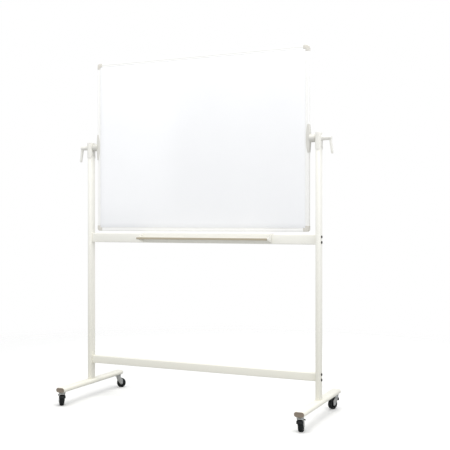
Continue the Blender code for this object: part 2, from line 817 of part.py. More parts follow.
def add_yoke(name, swivel, braked):
    outer = YOKE_INNER / 2 + YOKE_PLATE
    upright = Matrix.Rotation(QUARTER, 4, "X")
    crown = [
        (0, YOKE_CROWN_Z),
        (CROWN_RADIUS - 0.0025, YOKE_CROWN_Z),
        (CROWN_RADIUS, YOKE_CROWN_Z - 0.003),
        (CROWN_RADIUS, YOKE_BRIDGE_Z + 0.0005),
        (0, YOKE_BRIDGE_Z + 0.0005),
    ]
    yoke = add_turned(f"{name}_castor_yoke", crown, "zinc_steel", parent=swivel)
    bridge_top = YOKE_BRIDGE_Z + 0.003
    join(yoke, box((YOKE_LEAD, -outer, YOKE_BRIDGE_Z), (YOKE_REAR, outer, bridge_top)), "bridge")
    for label, way in (("near", -1), ("far", 1)):
        offset = Matrix.Translation((0, way * (outer - YOKE_PLATE / 2), 0))
        join(yoke, prism([yoke_plate()], YOKE_PLATE, offset @ upright), f"{label}_plate")
    axle_length = 2 * outer + 0.003
    join(yoke, rods("Y", AXLE_RADIUS, axle_length, [(TRAIL, 0, WHEEL_RADIUS)]), "axle")
    if braked:
        cut(yoke, rods("Y", PIN_RADIUS + HOLE_PLAY, 3 * outer, [(PIN_X, 0, PIN_Z)]), "pin_holes")


def add_wheel(name, swivel):
    """Wheel with its tyre, spun about the axle; the profile is (radius, distance along the axle)."""
    half_tread = WHEEL_TREAD / 2
    half_hub = WHEEL_HUB_WIDTH / 2
    bore = AXLE_RADIUS + HOLE_PLAY
    upper = [
        (bore, half_hub),
        (0.0080, half_hub),
        (0.0085, 0.005),
        (0.0165, 0.005),
        (0.0175, half_tread),
        (WHEEL_RADIUS - 0.0025, half_tread),
        (WHEEL_RADIUS, half_tread - 0.004),
    ]
    points = upper + [(radius, -height) for radius, height in reversed(upper)]
    add_turned(
        f"{name}_castor_wheel",
        points,
        "wheel_rubber",
        closed=True,
        location=(TRAIL, 0, WHEEL_RADIUS),
        rotation=(QUARTER, 0, 0),
        parent=swivel,
    )


def pedal_hood():
    """Side view of the plate over the tread, bent at its knee; x and z are measured from the pin."""
    under = [(x - PIN_X, z - PIN_Z) for x, z in (PEDAL_HEEL, PEDAL_KNEE, PEDAL_TOE)]
    over = [(x, z + PEDAL_SHEET) for x, z in under]
    return under + over[::-1]


def pedal_web():
    """Bar between the fork plates, from the apron in front, past the pin, to the hood behind."""
    points = [
        (-0.0098, 0.0545),
        (-0.0098, 0.0500),
        (0.0000, 0.0515),
        (0.0192, 0.0528),
        (0.0192, 0.0580),
        (PIN_X, 0.0580),
    ]
    return [(x - PIN_X, z - PIN_Z) for x, z in points]


def add_pedal(name, swivel):
    """Brake pedal: a hood over the tread, an apron in front of the fork and a web between them."""
    upright = Matrix.Rotation(QUARTER, 4, "X")
    pedal = add_part(
        f"{name}_brake_pedal",
        prism([pedal_hood()], PEDAL_WIDTH, upright),
        "black_plastic",
        location=(PIN_X, 0, PIN_Z),
        parent=swivel,
    )
    half = PEDAL_WIDTH / 2
    low = (APRON_X - PIN_X, -half, APRON_BOTTOM - PIN_Z)
    high = (APRON_X + APRON_SHEET - PIN_X, half, APRON_TOP - PIN_Z)
    join(pedal, prism([pedal_web()], YOKE_INNER - 2 * GAP, upright), "web")
    join(pedal, box(low, high), "apron")
    join(pedal, rods("Y", PIN_RADIUS, PEDAL_WIDTH - 2 * GAP, [(0, 0, 0)]), "pin")


def add_castors():
    sign = dict(SIDES)
    ends = {"front": -1, "rear": 1}
    for side, end, heading, braked in CASTORS:
        name = f"{end}_{side}"
        x, y = sign[side] * POST_X, ends[end] * CASTOR_Y
        add_stem(name, x, y)
        swivel = add_empty(f"{name}_swivel", (x, y, 0), math.radians(heading))
        add_yoke(name, swivel, braked)
        add_wheel(name, swivel)
        if braked:
            add_pedal(name, swivel)


# --- the whole object -----------------------------------------------------------------------------


def build_whiteboard():
    add_posts()
    add_crossbars()
    add_crossbar_bolts()
    add_feet()
    add_foot_caps()
    add_foot_screws()
    add_pivot_heads()
    add_pen_tray()
    board = add_empty("board_pivot", (0, 0, PIVOT_Z))
    add_rails(board)
    add_corner_caps(board)
    add_sheets_and_core(board)
    add_pivot_brackets(board)
    add_spindles(board)
    add_levers()
    add_castors()


clear_scene()
PARTS = new_collection("rolling_whiteboard")
CUTTERS = new_collection("cutters")
MATERIALS = {name: make_material(name) for name in FINISHES}
build_whiteboard()
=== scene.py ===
"""Rolling whiteboard: the visible pieces and their finishes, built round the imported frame.

Metres, +Z up, X across the board, -Y the front. Each operator makes one group of pieces.
"""

import json
import math

import bmesh
import bpy
from mathutils import Matrix, Vector


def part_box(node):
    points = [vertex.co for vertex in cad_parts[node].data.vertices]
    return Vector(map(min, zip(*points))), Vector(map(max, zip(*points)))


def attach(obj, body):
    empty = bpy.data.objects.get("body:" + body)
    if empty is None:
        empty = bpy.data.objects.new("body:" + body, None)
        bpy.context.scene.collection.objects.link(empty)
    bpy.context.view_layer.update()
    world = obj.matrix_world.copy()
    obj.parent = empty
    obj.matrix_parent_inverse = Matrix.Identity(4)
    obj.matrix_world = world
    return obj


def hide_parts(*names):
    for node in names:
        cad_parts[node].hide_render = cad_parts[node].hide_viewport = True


bl_info = {
    "name": "Rolling whiteboard",
    "version": (1, 0, 0),
    "blender": (4, 5, 0),
    "location": "3D View > Sidebar > Whiteboard",
    "description": "Builds a whiteboard that turns over on a castor stand, piece by piece",
    "category": "Add Mesh",
}

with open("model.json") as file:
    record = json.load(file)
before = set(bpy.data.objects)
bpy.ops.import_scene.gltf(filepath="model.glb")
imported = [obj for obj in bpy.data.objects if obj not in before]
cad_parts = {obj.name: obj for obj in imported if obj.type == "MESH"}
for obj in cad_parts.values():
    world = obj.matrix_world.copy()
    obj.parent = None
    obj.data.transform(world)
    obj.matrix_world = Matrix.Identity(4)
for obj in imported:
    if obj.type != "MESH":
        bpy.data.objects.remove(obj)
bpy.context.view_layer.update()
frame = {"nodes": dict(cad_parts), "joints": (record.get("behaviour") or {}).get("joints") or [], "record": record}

MM = 0.001
QUARTER = math.pi / 2
UPRIGHT = Matrix.Rotation(QUARTER, 4, "X")  # lays a drawing's y along Z
X, Y, Z = 0, 1, 2
SIDES = (("left", -1), ("right", 1))
CASTORS = ("front_left", "front_right", "rear_left", "rear_right")
SHARP = math.radians(38)

JOINTS = {joint["name"]: joint for joint in frame["joints"]}
BODY_OF = {
    node: body
    for body, nodes in frame["record"]["behaviour"]["bodies"].items()
    for node in nodes
}
PIVOT_Z = JOINTS["board_turn"]["pos_m"][Z]


# --- settings -------------------------------------------------------------------------------------


def srgb(code):
    """Linear channels of an sRGB hex colour."""
    channels = [int(code[i : i + 2], 16) / 255 for i in (1, 3, 5)]
    return tuple(c / 12.92 if c <= 0.04045 else ((c + 0.055) / 1.055) ** 2.4 for c in channels)


def colour_setting(name, description, code):
    return bpy.props.FloatVectorProperty(
        name=name,
        description=description,
        subtype="COLOR",
        size=3,
        min=0.0,
        max=1.0,
        default=srgb(code),
    )


def length_setting(name, description, default):
    return bpy.props.FloatProperty(
        name=name,
        description=description,
        default=default,
        min=0.0,
        subtype="DISTANCE",
        unit="LENGTH",
    )


class WhiteboardColours(bpy.types.PropertyGroup):
    """Colours of the finishes."""

    stand_coat: colour_setting("Stand coat", "Powder coat on posts, feet and bars", "#F6F5EE")
    tray_coat: colour_setting("Tray coat", "Powder coat on the pen tray", "#EDECE6")
    frame_lacquer: colour_setting("Frame lacquer", "Lacquer on the board's rails", "#F8F8F6")
    corner_plastic: colour_setting("Corner plastic", "Moulded corner caps", "#D9D6CE")
    writing_enamel: colour_setting("Writing enamel", "Both writing sheets", "#F8F9FB")
    pivot_plastic: colour_setting("Pivot plastic", "Heads, brackets and levers", "#ECEBE6")
    bracket_plastic: colour_setting("Bracket plastic", "Brackets on the board's sides", "#DAD9D3")
    cap_plastic: colour_setting("Foot cap plastic", "End caps of the feet", "#8F8274")
    wheel_plastic: colour_setting("Wheel plastic", "Wheel cores and brake pedals", "#16191A")
    tyre_rubber: colour_setting("Tyre rubber", "Treads of the castors", "#121819")
    zinc: colour_setting("Zinc", "Plated steel of the castors", "#B9BAB8")
    dark_steel: colour_setting("Dark steel", "Blackened bolt heads", "#4A4742")
    fibre_core: colour_setting("Fibre core", "Pressed board between the sheets", "#B9A88A")
    floor: colour_setting("Floor", "Studio floor", "#FBFBFA")


class WhiteboardSizes(bpy.types.PropertyGroup):
    """Roundings and small features that the frame leaves open."""

    tube_rim: length_setting("Tube rim", "Rounding of a tube's cut ends", 0.6 * MM)
    bar_edge: length_setting("Bar edge", "Corner radius of the crossbars", 4.0 * MM)
    fold_radius: length_setting("Fold radius", "Bend radius of the tray's sheet", 1.5 * MM)
    cap_edge: length_setting("Cap edge", "Rounding of the foot caps", 1.4 * MM)
    head_dome: length_setting("Head dome", "Rounding of the pivot heads' tops", 9.5 * MM)
    bracket_edge: length_setting("Bracket edge", "Rounding of the pivot brackets", 2.0 * MM)
    rail_edge: length_setting("Rail edge", "Outer rounding of the frame rails", 3.6 * MM)
    corner_edge: length_setting("Corner edge", "Rounding of the corner caps", 1.6 * MM)
    tyre_edge: length_setting("Tyre edge", "Shoulder radius of the tyres", 2.5 * MM)
    sheet_wave: length_setting("Sheet wave", "Height of the sheets' faint waves", 0.12 * MM)
    lens: bpy.props.FloatProperty(
        name="Lens",
        description="Focal length of the studio camera in millimetres",
        default=65.67,
        min=10.0,
        unit="CAMERA",
    )


def sizes():
    return bpy.context.scene.whiteboard_sizes


def colours():
    return bpy.context.scene.whiteboard_colours


# --- shapes ---------------------------------------------------------------------------------------


def arc(centre, radius, start, end, steps):
    """Points on an arc, both ends included, angles in degrees."""
    angles = [math.radians(start + (end - start) * i / steps) for i in range(steps + 1)]
    return [(centre[0] + radius * math.cos(a), centre[1] + radius * math.sin(a)) for a in angles]


def block(low, high):
    build = bmesh.new()
    low, high = Vector(low), Vector(high)
    bmesh.ops.create_cube(build, size=1.0)
    bmesh.ops.scale(build, vec=high - low, verts=build.verts)
    bmesh.ops.translate(build, vec=(low + high) / 2, verts=build.verts)
    return build


def edges_along(build, axis):
    found = []
    for edge in build.edges:
        run = edge.verts[1].co - edge.verts[0].co
        if abs(run[axis]) > 0.999 * run.length:
            found.append(edge)
    return found


def edges_at(build, axis, level, within=1e-5):
    """Edges that lie in the plane at this level of an axis."""
    return [e for e in build.edges if all(abs(v.co[axis] - level) < within for v in e.verts)]


def round_off(build, edges, radius, segments):
    bmesh.ops.bevel(
        build,
        geom=edges,
        offset=radius,
        offset_type="OFFSET",
        segments=segments,
        profile=0.5,
        affect="EDGES",
        material=-1,
        clamp_overlap=True,
    )


def rounded_bar(low, high, axis, radius, segments, rim=0.0, rim_segments=2):
    """A bar along one axis with its long edges rounded, and then the rims of its ends."""
    build = block(low, high)
    round_off(build, edges_along(build, axis), radius, segments)
    if rim:
        for level in (low[axis], high[axis]):
            round_off(build, edges_at(build, axis, level), rim, rim_segments)
    return build


def moved(items):
    return [item for item in items if isinstance(item, bmesh.types.BMVert)]


def plate(outline, thickness, rim=0.0, rim_segments=3, matrix=None):
    """A flat outline made solid about z = 0, its rims rounded, then placed."""
    build = bmesh.new()
    face = build.faces.new([build.verts.new((x, y, -thickness / 2)) for x, y in outline])
    raised = bmesh.ops.extrude_face_region(build, geom=[face])["geom"]
    bmesh.ops.translate(build, vec=(0, 0, thickness), verts=moved(raised))
    bmesh.ops.recalc_face_normals(build, faces=build.faces)
    if rim:
        edges = edges_at(build, Z, -thickness / 2) + edges_at(build, Z, thickness / 2)
        round_off(build, edges, rim, rim_segments)
    if matrix is not None:
        build.transform(matrix)
    return build


def turned(profile, steps=48, matrix=None):
    """A profile of (radius, height) points spun about its height axis, then placed."""
    build = bmesh.new()
    verts = [build.verts.new((radius, 0.0, height)) for radius, height in profile]
    edges = [build.edges.new(pair) for pair in zip(verts, verts[1:])]
    bmesh.ops.spin(
        build,
        geom=verts + edges,
        cent=(0, 0, 0),
        axis=(0, 0, 1),
        angle=2 * math.pi,
        steps=steps,
        use_merge=True,
    )
    bmesh.ops.remove_doubles(build, verts=build.verts, dist=1e-7)
    bmesh.ops.recalc_face_normals(build, faces=build.faces)
    if matrix is not None:
        build.transform(matrix)
    return build


def to_mesh(build, name):
    """Turns a bmesh into a mesh and uses the bmesh up."""
    mesh = bpy.data.meshes.new(name)
    build.to_mesh(mesh)
    build.free()
    return mesh


def add_object(name, data):
    item = bpy.data.objects.new(name, data)
    bpy.context.scene.collection.objects.link(item)
    return item


def together(*shapes):
    """One mesh from several closed shapes."""
    whole = bmesh.new()
    for shape in shapes:
        mesh = to_mesh(shape, "shape")
        whole.from_mesh(mesh)
        bpy.data.meshes.remove(mesh)
    return whole


def carve(build, cutter):
    """The shape after an exact Boolean with the cutter; both bmeshes are used up."""
    names = ("carved", "cutter")
    holders = [add_object(n, to_mesh(shape, n)) for n, shape in zip(names, (build, cutter))]
    modifier = holders[0].modifiers.new("boolean", "BOOLEAN")
    modifier.operation = "DIFFERENCE"
    modifier.solver = "EXACT"
    modifier.object = holders[1]
    graph = bpy.context.evaluated_depsgraph_get()
    result = bmesh.new()
    result.from_object(holders[0], graph)
    for holder in holders:
        mesh = holder.data
        bpy.data.objects.remove(holder)
        bpy.data.meshes.remove(mesh)
    bmesh.ops.remove_doubles(result, verts=result.verts, dist=1e-6)
    return result


def side_place(sign, x, z=0.0, y=0.0):
    """A piece drawn with +x outward, put on one side of the object."""
    turn = Matrix() if sign > 0 else Matrix.Rotation(math.pi, 4, "Z")
    return Matrix.Translation((x, y, z)) @ turn


def add_piece(name, build, material, node, stands_for=None, sharp=SHARP):
    """Makes the object, gives it its finish and lets it ride with its CAD node's body."""
    mesh = to_mesh(build, name)
    mesh.materials.append(material)
    mesh.shade_smooth()
    mesh.set_sharp_from_angle(angle=sharp)
    piece = add_object(name, mesh)
    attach(piece, BODY_OF[node])
    if stands_for is None:
        stands_for = (node,)
    if stands_for:
        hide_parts(*stands_for)
    return piece


# --- finishes -------------------------------------------------------------------------------------


def add_node(tree, kind, inputs=None, **settings):
    """Adds a node; an input takes a value or is linked from another node's output."""
    node = tree.nodes.new(kind)
    for name, value in settings.items():
        setattr(node, name, value)
    for socket, value in (inputs or {}).items():
        if isinstance(value, bpy.types.NodeSocket):
            tree.links.new(value, node.inputs[socket])
        else:
            node.inputs[socket].default_value = value
    return node


MIX_FACTOR, MIX_A, MIX_B, MIX_RESULT = 0, 6, 7, 2


class Finish:
    """A Principled material under construction; its patterns are measured in metres."""

    def __init__(self, name, colour, roughness, metallic=0.0, **sockets):
        self.material = bpy.data.materials.new(name)
        self.material.use_nodes = True
        self.tree = self.material.node_tree
        self.shader = self.tree.nodes["Principled BSDF"]
        self.space = add_node(self.tree, "ShaderNodeTexCoord").outputs["Object"]
        self.colour = tuple(colour)
        values = {"Base Color": (*colour, 1.0), "Roughness": roughness, "Metallic": metallic}
        values.update({socket.replace("_", " "): value for socket, value in sockets.items()})
        for socket, value in values.items():
            self.shader.inputs[socket].default_value = value

    def blotches(self, size, detail=3.0, rough=0.5, stretch=(1.0, 1.0, 1.0)):
        """Random patches about this size, drawn out along an axis where stretch is below 1."""
        space = add_node(self.tree, "ShaderNodeMapping", {"Vector": self.space, "Scale": stretch})
        inputs = {
            "Vector": space.outputs["Vector"],
            "Scale": 1.0 / size,
            "Detail": detail,
            "Roughness": rough,
        }
        return add_node(self.tree, "ShaderNodeTexNoise", inputs).outputs["Fac"]

    def wash(self, field, start, end, tone, strength):
        """Lays another tone over the colour, more of it as a field goes from start to end."""
        inputs = {"Value": field, "From Min": start, "From Max": end, "To Max": strength}
        share = add_node(self.tree, "ShaderNodeMapRange", inputs).outputs["Result"]
        base = self.shader.inputs["Base Color"]
        under = base.links[0].from_socket if base.is_linked else (*self.colour, 1.0)
        inputs = {MIX_FACTOR: share, MIX_A: under, MIX_B: (*tone, 1.0)}
        mix = add_node(self.tree, "ShaderNodeMix", inputs, data_type="RGBA")
        self.tree.links.new(mix.outputs[MIX_RESULT], base)

    def darker(self, share):
        return tuple(channel * share for channel in self.colour)

    def uneven_gloss(self, field, low, high):
        """Lets the roughness wander between two values with a field, and links it up."""
        inputs = {"Value": field, "From Min": 0.3, "From Max": 0.7, "To Min": low, "To Max": high}
        share = add_node(self.tree, "ShaderNodeMapRange", inputs).outputs["Result"]
        self.tree.links.new(share, self.shader.inputs["Roughness"])

    def relief(self, size, depth, strength, detail=2.0, rough=0.5):
        """A fine unevenness: the width of its lumps and how deep they are."""
        lumps = self.blotches(size, detail, rough)
        inputs = {"Height": lumps, "Distance": depth, "Strength": strength}
        normal = add_node(self.tree, "ShaderNodeBump", inputs).outputs["Normal"]
        self.tree.links.new(normal, self.shader.inputs["Normal"])


def powder_coat(name, colour, low_shade_tone, lip_shade_tone=None):
    """Polyester powder coat on steel: satin, orange peel, some dust, and painted shade that makes it darker and
    warmer low down.
    """
    coat = Finish(name, colour, 0.42, Coat_Weight=0.15, Coat_Roughness=0.25)
    coat.wash(coat.blotches(0.16, 2.0), 0.35, 0.75, coat.darker(0.97), 0.5)
    place = add_node(coat.tree, "ShaderNodeSeparateXYZ", {"Vector": coat.space}).outputs
    # Painted shade: the coat turns darker and warmer towards the floor, where less light reaches the parts.
    coat.wash(place["Z"], 1.00, 0.10, low_shade_tone, 0.85)
    if lip_shade_tone:
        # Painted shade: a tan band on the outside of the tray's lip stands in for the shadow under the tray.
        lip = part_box("pen_tray")[0].y
        coat.wash(place["Y"], lip + LIP_SHADE_BAND, lip + LIP_SHADE_BAND / 2, lip_shade_tone, 0.9)
    coat.wash(coat.blotches(0.004, 4.0, 0.7), 0.62, 0.80, coat.darker(0.72), 0.16)
    coat.uneven_gloss(coat.blotches(0.03, 4.0), 0.36, 0.50)
    # Orange peel is about 1 mm across, drawn at 2.2 mm so that it shows.
    coat.relief(2.2 * MM, 0.05 * MM, 0.6, 1.5)
    return coat.material


def frame_lacquer(name, colour, along):
    """Lacquered aluminium extrusion: semi-gloss, with die lines drawn along the rail."""
    lacquer = Finish(name, colour, 0.32, Coat_Weight=0.3, Coat_Roughness=0.18)
    stretch = [1.0, 1.0, 1.0]
    stretch[along] = 0.01
    # Real die lines are too fine to show in a render, so they are drawn 0.7 mm apart.
    lines = lacquer.blotches(0.7 * MM, 2.0, 0.6, stretch)
    lacquer.wash(lines, 0.45, 0.75, lacquer.darker(0.90), 0.35)
    lacquer.wash(lacquer.blotches(0.09), 0.5, 0.8, lacquer.darker(0.95), 0.4)
    lacquer.uneven_gloss(lines, 0.26, 0.40)
    lacquer.relief(1.5 * MM, 0.015 * MM, 0.5)
    return lacquer.material


def moulded_plastic(name, colour, roughness, grain, worn):
    """Injection-moulded ABS: a spark-eroded grain of this size, slightly worn and dusty."""
    plastic = Finish(name, colour, roughness, Specular_IOR_Level=0.45)
    plastic.wash(plastic.blotches(0.03), 0.45, 0.75, worn, 0.6)
    plastic.wash(plastic.blotches(1.2 * MM, 4.0, 0.75), 0.60, 0.78, plastic.darker(0.75), 0.25)
    plastic.uneven_gloss(plastic.blotches(0.012, 4.0), roughness - 0.06, roughness + 0.10)
    plastic.relief(grain, 0.04 * MM, 0.7, 2.0, 0.6)
    return plastic.material


def writing_enamel(name, colour):
    """Coated steel for dry markers: a deep gloss, wiped haze and ghosts of old marks."""
    enamel = Finish(name, colour, 0.14, Coat_Weight=0.4, Coat_Roughness=0.08)
    ghosts = enamel.blotches(0.045, 5.0, 0.65, (1.0, 1.0, 2.2))
    enamel.wash(ghosts, 0.55, 0.80, enamel.darker(0.955), 0.30)
    enamel.wash(enamel.blotches(0.35, 2.0), 0.35, 0.70, enamel.darker(0.975), 0.6)
    enamel.uneven_gloss(enamel.blotches(0.02, 3.0, 0.6, (0.15, 1.0, 1.0)), 0.11, 0.20)
    # Rolled steel is never quite flat: long shallow waves that bend the reflections.
    enamel.relief(0.18, 0.5 * MM, 0.25, 1.0)
    return enamel.material


def fibre_core(name, colour):
    """Pressed fibre board between the sheets, with its flecks; it shows only at the rails' gaps."""
    core = Finish(name, colour, 0.85)
    core.wash(core.blotches(1.5 * MM, 4.0, 0.7), 0.4, 0.7, core.darker(0.6), 0.8)
    core.uneven_gloss(core.blotches(4.0 * MM), 0.78, 0.92)
    core.relief(0.8 * MM, 0.1 * MM, 0.6, 3.0)
    return core.material


def zinc_plate(name, colour):
    """Bright zinc plating: a soft metal sheen with blue and straw passivation clouds."""
    zinc = Finish(name, colour, 0.34, 1.0)
    zinc.wash(zinc.blotches(0.012), 0.45, 0.75, srgb("#A9B2BF"), 0.4)
    zinc.wash(zinc.blotches(0.009, 4.0, 0.6), 0.55, 0.80, srgb("#B5A988"), 0.4)
    zinc.uneven_gloss(zinc.blotches(0.004, 4.0), 0.26, 0.44)
    zinc.relief(0.8 * MM, 0.015 * MM, 0.5)
    return zinc.material


def blackened_steel(name, colour):
    """Blackened screw steel, rubbed brighter in patches where a key has turned."""
    steel = Finish(name, colour, 0.42, 1.0)
    steel.wash(steel.blotches(2.5 * MM, 4.0, 0.7), 0.55, 0.80, srgb("#8B867C"), 0.5)
    steel.uneven_gloss(steel.blotches(1.5 * MM), 0.34, 0.55)
    steel.relief(0.6 * MM, 0.02 * MM, 0.6, 3.0)
    return steel.material


def tyre_rubber(name, colour):
    """Hard castor rubber: matt black with grey floor dust rubbed into the tread."""
    rubber = Finish(name, colour, 0.62, Specular_IOR_Level=0.35)
    rubber.wash(rubber.blotches(0.006, 5.0, 0.7), 0.52, 0.80, srgb("#474A47"), 0.35)
    rubber.uneven_gloss(rubber.blotches(0.003, 4.0), 0.52, 0.75)
    rubber.relief(0.7 * MM, 0.05 * MM, 0.8, 4.0, 0.7)
    return rubber.material


def studio_floor(name, colour):
    """Pale studio floor that thins out to the white surround a few metres from the stand."""
    floor = Finish(name, colour, 0.75)
    floor.wash(floor.blotches(0.5, 2.0), 0.4, 0.7, floor.darker(0.985), 0.3)
    distance = add_node(floor.tree, "ShaderNodeVectorMath", {0: floor.space}, operation="LENGTH")
    inputs = {"Value": distance.outputs["Value"], "From Min": FLOOR_REACH, "From Max": FLOOR_SOLID}
    solid = add_node(floor.tree, "ShaderNodeMapRange", inputs).outputs["Result"]
    floor.tree.links.new(solid, floor.shader.inputs["Alpha"])
    # Seen directly the floor is pale; the light that it throws back up at the stand is held down.
    path = add_node(floor.tree, "ShaderNodeLightPath")
    held = add_node(floor.tree, "ShaderNodeBsdfDiffuse", {"Color": (*floor.darker(0.5), 1.0)})
    inputs = {0: path.outputs["Is Camera Ray"], 1: held.outputs[0], 2: floor.shader.outputs[0]}
    either = add_node(floor.tree, "ShaderNodeMixShader", inputs)
    floor.tree.links.new(either.outputs[0], floor.tree.nodes["Material Output"].inputs["Surface"])
    floor.material.surface_render_method = "BLENDED"
    return floor.material


_finishes = {}


def finish(name):
    """Each finish is made once, when a piece first asks for it."""
    shades = colours()
    makers = {
        # Painted shade: the low tones darken and warm the coats towards the floor.
        "stand_powder_coat": (powder_coat, shades.stand_coat, srgb("#F1EFE3")),
        # Painted shade: the tray's last tone turns its lip tan in place of the shadow under the tray.
        "tray_powder_coat": (powder_coat, shades.tray_coat, srgb("#E9E7DE"), srgb("#B3A68C")),
        "rail_lacquer_across": (frame_lacquer, shades.frame_lacquer, X),
        "rail_lacquer_upright": (frame_lacquer, shades.frame_lacquer, Z),
        "corner_abs": (moulded_plastic, shades.corner_plastic, 0.45, 0.9 * MM, srgb("#CCC8BE")),
        "pivot_abs": (moulded_plastic, shades.pivot_plastic, 0.38, 1.0 * MM, srgb("#E2E0D8")),
        "bracket_abs": (moulded_plastic, shades.bracket_plastic, 0.42, 1.0 * MM, srgb("#CFCDC6")),
        "foot_cap_abs": (moulded_plastic, shades.cap_plastic, 0.50, 1.0 * MM, srgb("#80756A")),
        "castor_nylon": (moulded_plastic, shades.wheel_plastic, 0.40, 0.8 * MM, srgb("#262A2A")),
        "enamelled_steel": (writing_enamel, shades.writing_enamel),
        "fibre_core": (fibre_core, shades.fibre_core),
        "zinc_plated_steel": (zinc_plate, shades.zinc),
        "blackened_steel": (blackened_steel, shades.dark_steel),
        "castor_rubber": (tyre_rubber, shades.tyre_rubber),
        "studio_floor": (studio_floor, shades.floor),
    }
    if name not in _finishes:
        make, *values = makers[name]
        _finishes[name] = make(name, *values)
    return _finishes[name]


def repaint(node, name):
    """Gives a CAD node that keeps its own shape one of the finishes."""
    shape = frame["nodes"][node]
    shape.data.materials.clear()
    shape.data.materials.append(finish(name))


# --- stand ----------------------------------------------------------------------------------------


OVAL_STEPS = 12
OVAL_SLACK = 0.1 * MM  # short of a full half round, so that the two flats stay apart


def oval_bar(node, axis, rim, rim_segments=2):
    """A flat-oval bar in a node's box, rounded over its smaller side."""
    low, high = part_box(node)
    across = [high[i] - low[i] for i in range(3) if i != axis]
    radius = min(across) / 2 - OVAL_SLACK
    return rounded_bar(low, high, axis, radius, OVAL_STEPS, rim, rim_segments)


class WHITEBOARD_OT_posts(bpy.types.Operator):
    """Flat-oval posts between the feet and the pivot heads"""

    bl_idname = "whiteboard.posts"
    bl_label = "Posts"

    def execute(self, context):
        for side, _ in SIDES:
            node = f"{side}_post"
            post = oval_bar(node, Z, sizes().tube_rim)
            add_piece(f"{node}_tube", post, finish("stand_powder_coat"), node)
        return {"FINISHED"}


class WHITEBOARD_OT_feet(bpy.types.Operator):
    """Flat-oval feet that lie under the posts"""

    bl_idname = "whiteboard.feet"
    bl_label = "Feet"

    def execute(self, context):
        for side, _ in SIDES:
            node = f"{side}_foot"
            foot = oval_bar(node, Y, sizes().tube_rim)
            add_piece(f"{node}_tube", foot, finish("stand_powder_coat"), node)
        return {"FINISHED"}


class WHITEBOARD_OT_crossbars(bpy.types.Operator):
    """Two crossbars that tie the posts together"""

    bl_idname = "whiteboard.crossbars"
    bl_label = "Crossbars"

    def execute(self, context):
        for level in ("upper", "lower"):
            node = f"{level}_crossbar"
            low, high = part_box(node)
            bar = rounded_bar(low, high, X, sizes().bar_edge, 5, sizes().tube_rim)
            add_piece(f"{node}_tube", bar, finish("stand_powder_coat"), node)
        return {"FINISHED"}


FLANGE = 3.0 * MM
PLUG_DEPTH = 12.0 * MM
PLUG_INSET = 0.8 * MM  # the plug is smaller than the flange by this all round
DISH_RIM = 2.2 * MM
DISH_DEPTH = 0.7 * MM


def foot_cap(node, end):
    """A cap's oval flange with a dished face, and its plug inside the tube."""
    low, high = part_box(node)
    outer, inward = (low.y, 1) if end == "front" else (high.y, -1)
    seat = outer + inward * FLANGE
    near, far = sorted((outer, seat))
    flange = block((low.x, near, low.z), (high.x, far, high.z))
    radius = (high.z - low.z) / 2 - OVAL_SLACK
    round_off(flange, edges_along(flange, Y), radius, OVAL_STEPS)
    round_off(flange, edges_at(flange, Y, outer), sizes().cap_edge, 4)
    faces = [f for f in flange.faces if abs(f.calc_center_median().y - outer) < 1e-5]
    dish = max(faces, key=lambda face: face.calc_area())
    bmesh.ops.inset_region(flange, faces=[dish], thickness=DISH_RIM)
    bmesh.ops.translate(flange, vec=(0, inward * DISH_DEPTH, 0), verts=dish.verts)
    near, far = sorted((seat - inward * 0.5 * MM, seat + inward * PLUG_DEPTH))
    plug = block(
        (low.x + PLUG_INSET, near, low.z + PLUG_INSET),
        (high.x - PLUG_INSET, far, high.z - PLUG_INSET),
    )
    round_off(plug, edges_along(plug, Y), radius - PLUG_INSET, OVAL_STEPS)
    return together(flange, plug)


class WHITEBOARD_OT_foot_caps(bpy.types.Operator):
    """Moulded caps that close the feet"""

    bl_idname = "whiteboard.foot_caps"
    bl_label = "Foot caps"

    def execute(self, context):
        for side, _ in SIDES:
            for end in ("front", "rear"):
                node = f"{side}_{end}_foot_cap"
                add_piece(f"{node}_moulding", foot_cap(node, end), finish("foot_cap_abs"), node)
        return {"FINISHED"}


BOLT_HEAD = 4.0 * MM
BOLT_SHANK = 3.0 * MM  # radius
BOLT_STEPS = 48
BOLT_SEAT_EDGE = 0.35 * MM
BOLT_TIP = 0.8 * MM
# The head's dome: share of its radius, and how far below its top.
BOLT_DOME = ((0.72, 0.0), (0.86, 0.225 * MM), (0.96, 0.72 * MM), (1.0, 1.44 * MM))
SOCKET_RADIUS = 2.5 * MM / math.cos(math.pi / 6)  # corners of a 5 mm hexagon
SOCKET_DEPTH = 2.2 * MM


def socket_bolt(head_radius, length):
    """A button-head bolt with a six-sided socket, its head up and its seat at z = 0."""
    profile = [(head_radius * share, BOLT_HEAD - drop) for share, drop in BOLT_DOME]
    profile += [
        (head_radius, BOLT_SEAT_EDGE),
        (head_radius - BOLT_SEAT_EDGE, 0.0),
        (BOLT_SHANK, 0.0),
        (BOLT_SHANK, BOLT_TIP - length),
        (BOLT_SHANK - BOLT_TIP, -length),
        (0.0, -length),
    ]
    bolt = turned(profile, BOLT_STEPS)
    rim = edges_at(bolt, Z, BOLT_HEAD)
    socket = bmesh.ops.create_circle(bolt, segments=6, radius=SOCKET_RADIUS)
    bmesh.ops.translate(bolt, vec=(0, 0, BOLT_HEAD), verts=socket["verts"])
    sides = [e for e in edges_at(bolt, Z, BOLT_HEAD) if e not in rim]
    bmesh.ops.subdivide_edges(bolt, edges=sides, cuts=BOLT_STEPS // 6 - 1)
    hexagon = [e for e in edges_at(bolt, Z, BOLT_HEAD) if e not in rim]
    bmesh.ops.bridge_loops(bolt, edges=rim + hexagon)
    mouth = [e for e in hexagon if e.is_valid]
    walls = bmesh.ops.extrude_edge_only(bolt, edges=mouth)["geom"]
    bmesh.ops.translate(bolt, vec=(0, 0, -SOCKET_DEPTH), verts=moved(walls))
    bottom = [e for e in bolt.edges if e.is_boundary]
    bmesh.ops.holes_fill(bolt, edges=bottom, sides=0)
    bmesh.ops.recalc_face_normals(bolt, faces=bolt.faces)
    return bolt


